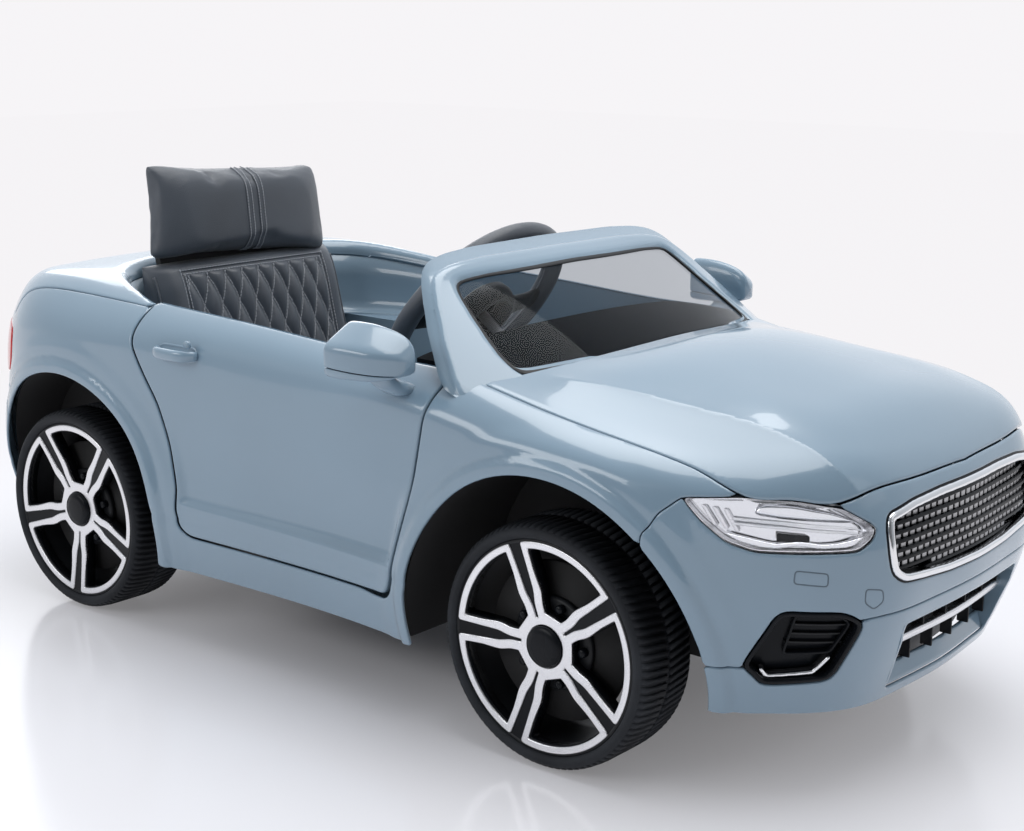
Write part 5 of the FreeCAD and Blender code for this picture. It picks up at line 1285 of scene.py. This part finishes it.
class BuildWheels(bpy.types.Operator):
    """Build the tyres and the twin-spoke rims"""
    bl_idname = "car.wheels"
    bl_label = "Wheels"

    def execute(self, context):
        trim = context.scene.car_trim
        tyre, block = tyre_shapes(trim.tread)
        tread = grown("ring", carrier_object("tread_ring"), "tyre", piece("tread_one", *block, "tyre", smooth=False),
                      Count=trim.tread)
        points = np.array([tuple(v.co / MM) for v in tread.data.vertices])
        faces = [tuple(f.vertices) for f in tread.data.polygons]
        bpy.data.objects.remove(tread)
        depth = lambda r: 30.5 + 6.3 * (np.clip(r - 23, 0, None) / 80) ** 1.4
        grid = wheel_grid(19.5, 105.5, 60, depth)
        window = spoke_field(trim.spokes)
        radius = lambda p: np.hypot(p[:, 0], p[:, 2])
        frames = lambda p: np.maximum(window(p), -window(p) - 7.2 - 2.2 * smooth_step(radius(p), 80, 50))
        hub = lambda p: np.abs(radius(p) - 24.5) - 4.0
        bright = panel(grid, lambda p: np.maximum(np.minimum(frames(p), hub(p)), radius(p) - 104.6), 1.3, 4,
                       raise_by=1.6, wrap=True)
        dark = panel(grid, lambda p: np.maximum(-window(p) - 8.6, radius(p) - 105.3), 1.6, 13, wrap=True)
        barrel = turned([(105, -40), (105, 36), (103, 38), (101, 36.5), (97.5, 30), (95, -20), (95, -40)], 96)
        disc = turned([(18, 6), (78, 6), (78, 11), (30, 11.5), (30, 16), (18, 16)], 96)
        cap = turned([(0.01, 30), (0.01, 37.2), (12, 37), (18.5, 36), (20.3, 34), (20.3, 30)], 64)
        inner = turned([(8, -30), (34, -30), (34, 18), (30, 21), (8, 21)], 64)
        bolts = []
        for k in range(trim.spokes):
            a = math.tau * (k + 0.5) / trim.spokes
            bolts.append(moved(turned([(0.01, 16), (0.01, 27), (3.6, 27), (4.6, 25.5), (4.6, 16)], 12),
                               (38.5 * math.cos(a), 0, 38.5 * math.sin(a))))
        plate = turned([(19, 14), (46, 14), (46, 18.5), (43, 20), (19, 20)], 64)
        sets = (("tyre", joined(tyre, (points, faces)), "tyre", "wheel_rubber"),
                ("spokes", dark, "gloss", "rim_plastic"), ("face", bright, "silver", "rim_plastic"),
                ("barrel", joined(barrel, inner, plate), "black", "rim_plastic"),
                ("cap", joined(cap, *bolts), "gloss", "rim_plastic"), ("disc", disc, "coarse", "rim_plastic"))
        for wheel, (x, y) in WHEELS.items():
            phase = math.radians({"front_right": 37.0, "rear_right": 52.0}.get(wheel, 20.0))
            for name, shape, finish, slot in sets:
                shape = moved(shape, turn=Matrix.Rotation(-phase, 3, "Y"))
                shape = moved(shape if y > 0 else flipped(shape), (x, y, AXLE_HEIGHT))
                node = {"tyre": [wheel + "_tyre"], "barrel": [wheel + "_rim"]}.get(name, [])
                settle(piece("%s_%s" % (wheel, name), *shape, finish), wheel + "_wheel", slot, *node)
        return {"FINISHED"}


# Steering wheel, mirrors, handles and the pedal.

STEERING = Matrix(((0.60182, 0, -0.79864), (0, 1, 0), (0.79864, 0, 0.60182)))
STEERING_CENTRE = (10, 0, 372)
GRIP_RADIUS, GRIP_THICK, GRIP_SEAM = 113, 11.5, 101.2
PEDAL_SLOPE = math.radians(42)
MIRROR_Y, MIRROR_Z = -312, 382


class BuildControls(bpy.types.Operator):
    """Build the steering wheel and the driver's controls"""
    bl_idname = "car.controls"
    bl_label = "Controls"

    def execute(self, context):
        around = np.linspace(0, math.tau, 20, endpoint=False)
        grip = turned([(GRIP_RADIUS + GRIP_THICK * math.cos(a), GRIP_THICK * math.sin(a)) for a in around], 96, "z")
        at_wheel = lambda shape: moved(shape, STEERING_CENTRE, STEERING)
        settle(piece("steering_grip", *at_wheel(grip), "leather"), "steering", "black_plastic", "steering_wheel")
        spokes = []
        for a in (math.radians(90), math.radians(-90), math.radians(180)):
            loops = []
            for r, wide, z in ((32, 21, -9), (55, 15, -7), (80, 12, -4), (104, 14, -1)):
                o = ring_of_points(16, wide, 5, 3.0)
                loops.append([(r * math.cos(a) - p * math.sin(a), r * math.sin(a) + p * math.cos(a), z + q)
                              for p, q in o])
            spokes.append(loft(loops))
        hub = turned([(31, -24), (40, -22), (43, -10), (41, -2), (36, 1.5), (31.5, 1.0)], 64, "z")
        settle(piece("steering_spokes", *at_wheel(joined(hub, *spokes)), "black"), "steering", "black_plastic")
        seam = [np.array((GRIP_SEAM * math.cos(a), GRIP_SEAM * math.sin(a), 0))
                for a in np.linspace(0, math.tau, 160)]
        path = [p @ np.array(STEERING).T + STEERING_CENTRE for p in seam]
        settle(stitches("steering_stitches", [path], 4.0), "steering", "dark_leather")
        dress("horn_button", "gloss")
        dress("steering_column", "steel")
        dress("accelerator_pedal", "black")
        dress("start_button", "silver")
        dress("direction_rocker", "gloss")
        ribs = [moved(soft_block((-1.4, -26, 6.4), (1.4, 26, 8.6), 0.6), (18 + 11 * k, 0, 0)) for k in range(6)]
        turn = Matrix.Rotation(-PEDAL_SLOPE, 3, "Y")
        settle(piece("pedal_ribs", *moved(joined(*ribs), (58, -85, 116), turn), "silver", smooth=False),
               "accelerator_pedal", "bright_trim")
        return {"FINISHED"}


class BuildDoorTrim(bpy.types.Operator):
    """Build the mirrors and the pull handles"""
    bl_idname = "car.door_trim"
    bl_label = "Door trim"

    def execute(self, context):
        section = rounded([(-26, -27), (-27, 4), (-22, 10), (14, 29), (22, 22), (25, 6), (24, -27)], 8, 6)
        stations = ((108, 0, 0, 0.93, 0.94), (110.5, 0, 0, 1, 1), (122, 0, 0, 1.02, 1.02), (138, 1, 0, 1, 1),
                    (154, 3, -1, 0.93, 0.95), (168, 6, -2, 0.8, 0.85), (178, 9, -3, 0.62, 0.7),
                    (185, 12, -5, 0.38, 0.45), (188, 13, -6, 0.02, 0.02))
        rings = [np.stack((np.full(len(section), x), MIRROR_Y + y + section[:, 0] * 0.95 * wide,
                           MIRROR_Z + z + section[:, 1] * 0.92 * tall), 1) for x, y, z, wide, tall in stations]
        flat = np.array(rings).reshape(len(rings), -1)
        fine = cubic(np.arange(len(rings)), flat, np.linspace(0, len(rings) - 1, 56)).reshape(56, -1, 3)
        around = fine.transpose(1, 0, 2)
        normals = wrapped_normals(around)
        normals *= np.sign((normals * (around - np.array((140, -311, 380)))).sum(2, keepdims=True))
        grid = (around, normals)
        split = lambda p: p[:, 2] - (365 - 0.05 * (p[:, 0] - 150))
        halves = [panel(grid, lambda p, s=s: s * split(p) + 0.5, 0.9, 2.6, wrap=True) for s in (-1, 1)]
        both_hands("mirror_shell", joined(*halves), "paint", "door", "body_plastic", "mirror")
        both_hands("mirror_core", panel(sunk(grid, 2.2), lambda p: np.full(len(p), -5.0), 0.5, 2.0, wrap=True),
                   "black", "door", "black_plastic")
        stations = ((-311, 362, 13, 8), (-302, 355, 13.5, 9), (-290, 347.5, 14.5, 9), (-272, 342, 17, 8.5))
        arm = loft([[(151 + p, y, z + q) for p, q in ring_of_points(24, rx, rz, 2.6)] for y, z, rx, rz in stations])
        both_hands("mirror_arm", arm, "paint", "door", "body_plastic")
        glass = [np.stack((np.full(len(section), x), MIRROR_Y + section[:, 0] * k, MIRROR_Z + section[:, 1] * k), 1)
                 for x, k in ((107.4, 0.74), (107.8, 0.8), (110, 0.8))]
        both_hands("mirror_glass", loft(glass), "mirror", "door", "bright_trim")
        self.handle()
        return {"FINISHED"}

    def handle(self):
        t = np.linspace(-1, 1, 25)
        path = [(-174 + 31 * s, -295.2 + 13 * abs(s) ** 5 + 1.5 * s * s, 336.5) for s in t]
        outline = [ring_of_points(18, 3.2 + 1.6 * (1 - abs(s) ** 4), 6.4 - 1.6 * abs(s) ** 6, 2.6) for s in t]
        bar = sweep(path, np.array(outline))
        both_hands("handle_bar", bar, "paint", "door", "body_plastic", "handle")
        near = lambda p: (np.abs(p[:, 0] + 174) < 60) & (np.abs(p[:, 2] - 336) < 40) & (p[:, 1] < -240)
        grid = finer(GRIDS["body"], near, 5)
        oval = rounded([(-202, 328), (-146, 328), (-142, 337), (-148, 345), (-200, 345), (-206, 337)], 6)
        dish = lambda p: polygon_distance(p[:, (0, 2)], oval)
        both_hands("handle_dish", panel(grid, band(dish, 3.0), 1.2, 2.0, raise_by=0.8), "paint", "door",
                   "body_plastic")
        both_hands("handle_recess", panel(grid, lambda p: dish(p) + 2.4, 0.6, 1.0, raise_by=0.25), "paint", "door",
                   "body_plastic")
        boss = moved(turned([(0.01, -2), (0.01, 3), (3.4, 2.6), (4.4, 1.2), (4.4, -2)], 24), (-150, -287.4, 349))
        boss = (boss[0] * (1, -1, 1) + (0, -2 * 287.4, 0), [tuple(reversed(f)) for f in boss[1]])
        both_hands("handle_boss", boss, "paint", "door", "body_plastic")


# Seat.

LEAN_BACK = math.radians(14)
SEAT_FOOT = np.array((-348.0, 0.0, 217.9))
SEAT_UP = np.array((-math.sin(LEAN_BACK), 0, math.cos(LEAN_BACK)))
SEAT_OUT = np.array((math.cos(LEAN_BACK), 0, math.sin(LEAN_BACK)))
HEAD_LEAN = math.radians(6)
HEAD_UP = np.array((-math.sin(HEAD_LEAN), 0, math.cos(HEAD_LEAN)))
HEAD_OUT = np.array((math.cos(HEAD_LEAN), 0, math.sin(HEAD_LEAN)))
HEAD_FOOT = SEAT_FOOT + SEAT_UP * 186.8
QUILT_STEP, QUILT_SLOPE, QUILT_MIDDLE = 27, 0.36, 86
SWELL_FRAMES = 20


def pad_points(origin, up, out, y, s, thick):
    """Points of a pad at (across, up, out)."""
    across = np.array((0.0, 1.0, 0.0))
    return origin + y[..., None] * across + s[..., None] * up + thick[..., None] * out


def pad_shell(front, back):
    """Closed shell between a front and a back grid of the same size."""
    columns, rows = front.shape[:2]
    index = np.arange(columns * rows).reshape(columns, rows)
    quads = np.stack((index[:-1, :-1], index[1:, :-1], index[1:, 1:], index[:-1, 1:]), -1).reshape(-1, 4)
    start = columns * rows
    faces = [tuple(q) for q in quads.tolist()] + [tuple(start + i for i in reversed(q)) for q in quads.tolist()]
    rim = list(index[:, 0]) + list(index[-1, 1:]) + list(index[-2::-1, -1]) + list(index[0, -2:0:-1])
    faces += [(b, a, start + a, start + b) for a, b in zip(rim, rim[1:] + rim[:1])]
    return np.concatenate((front.reshape(-1, 3), back.reshape(-1, 3))), faces


def puffed(obj, limit):
    """Swell a closed pad as cloth under pressure, holding each point within a limit."""
    graph = bpy.context.evaluated_depsgraph_get
    remesh = obj.modifiers.new("even", "REMESH")
    remesh.mode, remesh.voxel_size = "VOXEL", 0.005
    obj.data = bpy.data.meshes.new_from_object(obj.evaluated_get(graph()))
    obj.modifiers.clear()
    start = np.array([tuple(v.co) for v in obj.data.vertices])
    cloth = obj.modifiers.new("swell", "CLOTH")
    cloth.settings.use_pressure = True
    cloth.settings.uniform_pressure_force = 4.0
    cloth.settings.effector_weights.gravity = 0
    cloth.point_cache.frame_end = SWELL_FRAMES + 1
    scene = bpy.context.scene
    for number in range(1, SWELL_FRAMES + 1):
        scene.frame_set(number)
    swollen = bpy.data.meshes.new_from_object(obj.evaluated_get(graph()))
    obj.modifiers.clear()
    scene.frame_set(1)
    end = np.array([tuple(v.co) for v in swollen.vertices])
    step = end - start
    size = np.linalg.norm(step, axis=1, keepdims=True)
    step *= np.minimum(1, limit * MM / np.maximum(size, 1e-9))
    obj.data.vertices.foreach_set("co", np.ravel(start + step))
    obj.data.polygons.foreach_set("use_smooth", [True] * len(obj.data.polygons))
    smoother = obj.modifiers.new("smoother", "SUBSURF")
    smoother.levels = smoother.render_levels = 1
    obj.data = bpy.data.meshes.new_from_object(obj.evaluated_get(graph()))
    obj.modifiers.clear()
    return obj


def laid_on(obj, lines, origin, up, out, lift=0.35):
    """Lines of (across, up) dropped onto a pad's front."""
    mesh = obj.data
    tree = BVHTree.FromPolygons([v.co for v in mesh.vertices], [tuple(f.vertices) for f in mesh.polygons])
    result = []
    for line in lines:
        path = []
        for y, s in line:
            start = (origin + np.array((0, y, 0)) + s * up + 120 * out) * MM
            hit = tree.ray_cast(Vector(start), Vector(-out))
            if hit[0] is not None:
                path.append(np.array(hit[0] + hit[1] * lift * MM) / MM)
        if len(path) > 1:
            result.append(path)
    return result


class BuildSeat(bpy.types.Operator):
    """Build the cushion, the quilted backrest and the headrest pillow"""
    bl_idname = "car.seat"
    bl_label = "Seat"

    def execute(self, context):
        seat = context.scene.car_seat
        self.backrest(seat)
        self.headrest(seat)
        self.cushion(seat)
        dress("seat_board", "coarse")
        return {"FINISHED"}

    def backrest(self, seat):
        u, v = np.meshgrid(np.linspace(-1, 1, 150), np.linspace(-1, 1, 92), indexing="ij")
        y, s = 157 * u * (1 - 0.03 * np.abs(v) ** 4), 93 + 91 * v * (1 - 0.02 * u ** 4)
        edge = np.clip(1 - np.abs(u) ** 5, 0, 1) ** 0.5 * np.clip(1 - np.abs(v) ** 7, 0, 1) ** 0.5
        in_panel = smooth_step(116 - np.abs(y), 0, 7) * smooth_step(166 - s, 0, 6)
        a, b = [(y + slope * (s - QUILT_MIDDLE)) / QUILT_STEP for slope in (QUILT_SLOPE, -QUILT_SLOPE)]
        puff = np.abs(np.sin(math.pi * a) * np.sin(math.pi * b)) ** 0.42
        bolster = np.exp(-((np.abs(y) - 131) / 15) ** 2)
        upright = np.exp(-((np.abs(y) - 116) / 2.2) ** 2) * smooth_step(168 - s, 0, 4)
        groove = upright + np.exp(-((s - 167.5) / 2.2) ** 2) * smooth_step(118 - np.abs(y), 0, 4)
        thick = 33 + 7 * (1 - u * u) + in_panel * (9 * puff - 5) + 6 * bolster + 4 * np.exp(-((s - 176) / 8) ** 2)
        depth = edge * thick - edge * 3.2 * groove
        front = pad_points(SEAT_FOOT, SEAT_UP, SEAT_OUT, y, s, np.maximum(depth, 2.0))
        back = pad_points(SEAT_FOOT, SEAT_UP, SEAT_OUT, y, s, 0.6 + 0 * depth)
        pad = piece("backrest_pad", *pad_shell(front, back), "leather", subdivide=1)
        settle(pad, "car", "dark_leather", "backrest")
        lines = []
        for k in range(-8, 9):
            for lean in (-QUILT_SLOPE, QUILT_SLOPE):
                line = [(QUILT_STEP * k + lean * (h - QUILT_MIDDLE), h) for h in np.arange(14, 164, 2.0)]
                line = [q for q in line if abs(q[0]) < 113]
                if len(line) > 4:
                    lines.append(line)
        for gap in (113.5, 118.8):
            for sign in (-1, 1):
                lines.append([(sign * gap, h) for h in np.arange(12, gap + 52.5, 2.0)])
            lines.append([(w, gap + 51.5) for w in np.arange(-gap, gap + 0.1, 2.0)])
        paths = laid_on(pad, lines, SEAT_FOOT, SEAT_UP, SEAT_OUT)
        settle(stitches("backrest_stitches", paths, seat.stitch), "car", "dark_leather")
        self.piping("backrest_piping", pad, [(148, h) for h in np.arange(14, 170, 3.0)])

    def piping(self, name, pad, line):
        """Cord sewn along both sides of a pad."""
        shapes = []
        for sign in (-1, 1):
            path = laid_on(pad, [[(sign * y, s) for y, s in line]], SEAT_FOOT, SEAT_UP, SEAT_OUT, 0.2)
            shapes += [sweep(p, ring_of_points(10, 1.7, 1.7), up=(1, 0, 0)) for p in path]
        settle(piece(name, *joined(*shapes), "leather"), "car", "dark_leather")

    def headrest(self, seat):
        u, v = np.meshgrid(np.linspace(-1, 1, 80), np.linspace(-1, 1, 40), indexing="ij")
        y = (146 - 5 * smooth_step(v, -1, 1) - 4 * (1 - v ** 4)) * u - 4
        s = 54 + (59 - (1 - u ** 4) - 6 * u ** 16) * v - 0.05 * y
        ends = np.clip(1 - np.abs(u) ** 6, 0, 1) ** 0.5
        full = ends * np.where(v > 0, np.clip(1 - np.abs(v) ** 3.5, 0, 1) ** 0.6,
                               np.clip(1 - np.abs(v) ** 9, 0, 1) ** 0.4)
        front = pad_points(HEAD_FOOT, HEAD_UP, HEAD_OUT, y, s, 12 + 25 * full)
        back = pad_points(HEAD_FOOT, HEAD_UP, HEAD_OUT, y, s, 8 - 7 * full)
        pad = puffed(piece("headrest_pillow", *pad_shell(front, back), "leather"), 6)
        settle(pad, "car", "dark_leather", "headrest")
        lines, bands = [], []
        for middle in (-6.5, 12.5):
            lines += [[(middle + gap, h) for h in np.arange(4, 107, 1.6)] for gap in (-3.6, 3.6)]
            lines.append([(middle + gap, 4) for gap in (-3.6, 0, 3.6)])
            path = laid_on(pad, [[(middle, h) for h in np.arange(3, 109, 2.0)]], HEAD_FOOT, HEAD_UP, HEAD_OUT, 0.0)
            bands += [sweep(p, ring_of_points(12, 5.2, 0.9, 3.0), up=tuple(HEAD_OUT)) for p in path]
        settle(piece("headrest_bands", *joined(*bands), "leather"), "car", "dark_leather")
        settle(stitches("headrest_stitches", laid_on(pad, lines, HEAD_FOOT, HEAD_UP, HEAD_OUT, 1.1),
                        seat.stitch * 0.8), "car", "dark_leather")

    def cushion(self, seat):
        u, v = np.meshgrid(np.linspace(-1, 1, 70), np.linspace(-1, 1, 52), indexing="ij")
        y, x = (162 - 3 * (1 - v ** 4)) * u, -212 + (113 - 2 * (1 - u ** 4)) * v
        edge = np.clip(1 - np.abs(u) ** 6, 0, 1) ** 0.5 * np.clip(1 - np.abs(v) ** 6, 0, 1) ** 0.5
        top = np.stack((x, y, 203 + 22 * edge), 2)
        low = np.stack((x, y, 190.5 + 0 * edge), 2)
        pad = piece("seat_pad", *pad_shell(top, low), "leather")
        pad = puffed(pad, 6)
        settle(pad, "car", "dark_leather", "seat_cushion")
        up, out = np.array((1.0, 0, 0)), np.array((0, 0, 1.0))
        lines = [[(sign * gap, h) for h in np.arange(-318, -104, 2.5)] for sign in (-1, 1) for gap in (92, 97)]
        lines += [[(w, h) for w in np.arange(-92, 92.1, 2.5)] for h in (-292, -250, -208, -166, -124)]
        settle(stitches("cushion_stitches", laid_on(pad, lines, np.array((0, 0, 150.0)), up, out), seat.stitch),
               "car", "dark_leather")


class DressChassis(bpy.types.Operator):
    """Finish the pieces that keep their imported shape"""
    bl_idname = "car.chassis"
    bl_label = "Chassis finishes"

    def execute(self, context):
        nodes = {
            "coarse": ("floor_pan", "front_wheel_liners", "rear_wheel_liners", "knuckle_right", "knuckle_left",
                       "gearbox_right", "gearbox_left"),
            "steel": ("front_axle_beam", "tie_rod", "pivot_pins", "rear_axle", "drive_motors"),
            "black": ("battery",),
        }
        for finish, names in nodes.items():
            for node in names:
                dress(node, finish)
        return {"FINISHED"}


# Stage, in metres: the camera of the photograph, then the floor, the backdrop, the sky and the lights.

CAMERA_PLACE = (1.262272, -1.459847, 0.693135)
CAMERA_AXES = ((0.773722, 0.633481, 0.007469), (-0.148571, 0.169976, 0.974184), (0.615858, -0.754857, 0.225631))
CAMERA_LENS, CAMERA_SENSOR, CAMERA_SHIFT = 60.262, 36.0, (-0.004603, -0.00132)
FLOOR_HALF = 9.0
BACKDROP = (0.925, 0.91, 0.93, 1)
SKY_COLOUR, SKY_BRIGHT_SIDE, SKY_RANGE = (0.9, 0.94, 1.0, 1), (-0.6, 0.75, 0.28), (-0.7, 0.9, 0.14, 1.0)
# Name, place, aim, size and watts.
LIGHTS = (
    ("top_light", (0.2, 0.3, 2.4), (0, 0, 0.2), (2.6, 1.6), 40),
    ("front_light", (2.6, 0.6, 1.6), (0.3, 0, 0.3), (1.2, 1.2), 2),
    ("side_light", (-0.9, -2.7, 1.6), (-0.1, 0, 0.2), (2.2, 0.9), 20),
    ("back_light", (-2.4, 1.6, 1.5), (0, 0, 0.3), (1.6, 1.2), 12),
)


class BuildStage(bpy.types.Operator):
    """Set the floor, the light and the camera"""
    bl_idname = "car.stage"
    bl_label = "Stage"

    def execute(self, context):
        scene = context.scene
        scene.view_settings.view_transform = "Standard"
        camera = bpy.data.cameras.new("camera")
        camera.lens, camera.sensor_width = CAMERA_LENS, CAMERA_SENSOR
        camera.shift_x, camera.shift_y = CAMERA_SHIFT
        eye = bpy.data.objects.new("camera", camera)
        eye.matrix_world = Matrix.Translation(CAMERA_PLACE) @ Matrix(CAMERA_AXES).transposed().to_4x4()
        scene.collection.objects.link(eye)
        scene.camera = eye
        far = FLOOR_HALF / MM
        corners = [(-far, -far, 0), (far, -far, 0), (far, far, 0), (-far, far, 0)]
        floor = piece("floor", corners, [(0, 1, 2, 3)], "paint", smooth=False)
        floor.data.materials.clear()
        floor.data.materials.append(self.floor_finish())
        self.sky(scene)
        for name, place, aim, size, watts in LIGHTS:
            lamp = bpy.data.lights.new(name, "AREA")
            lamp.shape, lamp.size, lamp.size_y, lamp.energy = "RECTANGLE", size[0], size[1], watts
            holder = bpy.data.objects.new(name, lamp)
            holder.location = place
            holder.rotation_euler = (Vector(aim) - Vector(place)).to_track_quat("-Z", "Y").to_euler()
            scene.collection.objects.link(holder)
        return {"FINISHED"}

    def floor_finish(self):
        """Pale glossy floor that fades to the backdrop's white away from the car."""
        f = Finish("studio_floor", Roughness=0.16, Specular_IOR_Level=0.35)
        f.feed({"Base Color": (0.86, 0.86, 0.9, 1)})
        spot = f.node("ShaderNodeVectorMath", {"operation": "LENGTH"}, f.place, output="Value")
        glow = f.node("ShaderNodeEmission", None, (0.915, 0.9, 0.92, 1), 1.0, output="Emission")
        blend = f.node("ShaderNodeMixShader", None, f.ramp(spot, 0.1, 1.7), Socket(f, f.shader.outputs[0]), glow)
        f.tree.links.new(blend.socket, f.tree.nodes["Material Output"].inputs["Surface"])
        return f.material

    def sky(self, scene):
        """Pale backdrop for the camera, and light that is strongest from one side."""
        world = bpy.data.worlds.new("studio")
        scene.world = world
        world.use_nodes = True
        nodes, links = world.node_tree.nodes, world.node_tree.links
        light, seen = nodes["Background"], nodes.new("ShaderNodeBackground")
        light.inputs["Color"].default_value = SKY_COLOUR
        facing, towards = nodes.new("ShaderNodeTexCoord"), nodes.new("ShaderNodeVectorMath")
        share = nodes.new("ShaderNodeMapRange")
        towards.operation = "DOT_PRODUCT"
        towards.inputs[1].default_value = SKY_BRIGHT_SIDE
        for socket, value in zip(share.inputs[1:5], SKY_RANGE):
            socket.default_value = value
        links.new(facing.outputs["Generated"], towards.inputs[0])
        links.new(towards.outputs["Value"], share.inputs[0])
        links.new(share.outputs[0], light.inputs["Strength"])
        seen.inputs["Color"].default_value, seen.inputs["Strength"].default_value = BACKDROP, 1.0
        path, mix = nodes.new("ShaderNodeLightPath"), nodes.new("ShaderNodeMixShader")
        either = nodes.new("ShaderNodeMath")
        either.operation = "MAXIMUM"
        links.new(path.outputs["Is Camera Ray"], either.inputs[0])
        links.new(path.outputs["Is Transmission Ray"], either.inputs[1])
        links.new(either.outputs[0], mix.inputs[0])
        links.new(light.outputs[0], mix.inputs[1])
        links.new(seen.outputs[0], mix.inputs[2])
        links.new(mix.outputs[0], nodes["World Output"].inputs["Surface"])


SETTINGS = {"car_body": CarBodySettings, "car_seat": CarSeatSettings, "car_trim": CarTrimSettings}
STEPS = (BuildStage, BuildBody, BuildLamps, BuildNose, BuildScreen, BuildCockpit, BuildWheels, BuildControls,
         BuildDoorTrim, BuildSeat, DressChassis)


class CarPanel(bpy.types.Panel):
    """The car's build steps and settings"""
    bl_idname = "VIEW3D_PT_ride_on_car"
    bl_label = "Ride-on car"
    bl_space_type = "VIEW_3D"
    bl_region_type = "UI"
    bl_category = "Ride-on car"

    def draw(self, context):
        for step in STEPS:
            self.layout.operator(step.bl_idname)
        for name, group in SETTINGS.items():
            for field in group.__annotations__:
                self.layout.prop(getattr(context.scene, name), field)


CLASSES = (*SETTINGS.values(), *STEPS, CarPanel)


def register():
    for cls in CLASSES:
        bpy.utils.register_class(cls)
    for name, group in SETTINGS.items():
        setattr(bpy.types.Scene, name, bpy.props.PointerProperty(type=group))


def unregister():
    for name in SETTINGS:
        delattr(bpy.types.Scene, name)
    for cls in reversed(CLASSES):
        bpy.utils.unregister_class(cls)


def main():
    register()
    scene = bpy.context.scene
    make_finishes(scene.car_body, scene.car_seat, scene.car_trim)
    for step in STEPS:
        group, name = step.bl_idname.split(".")
        getattr(getattr(bpy.ops, group), name)()
    bare = sorted(set(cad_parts) - DONE)
    if bare:
        raise RuntimeError("no finish for " + ", ".join(bare))


if __name__ == "__main__":
    main()
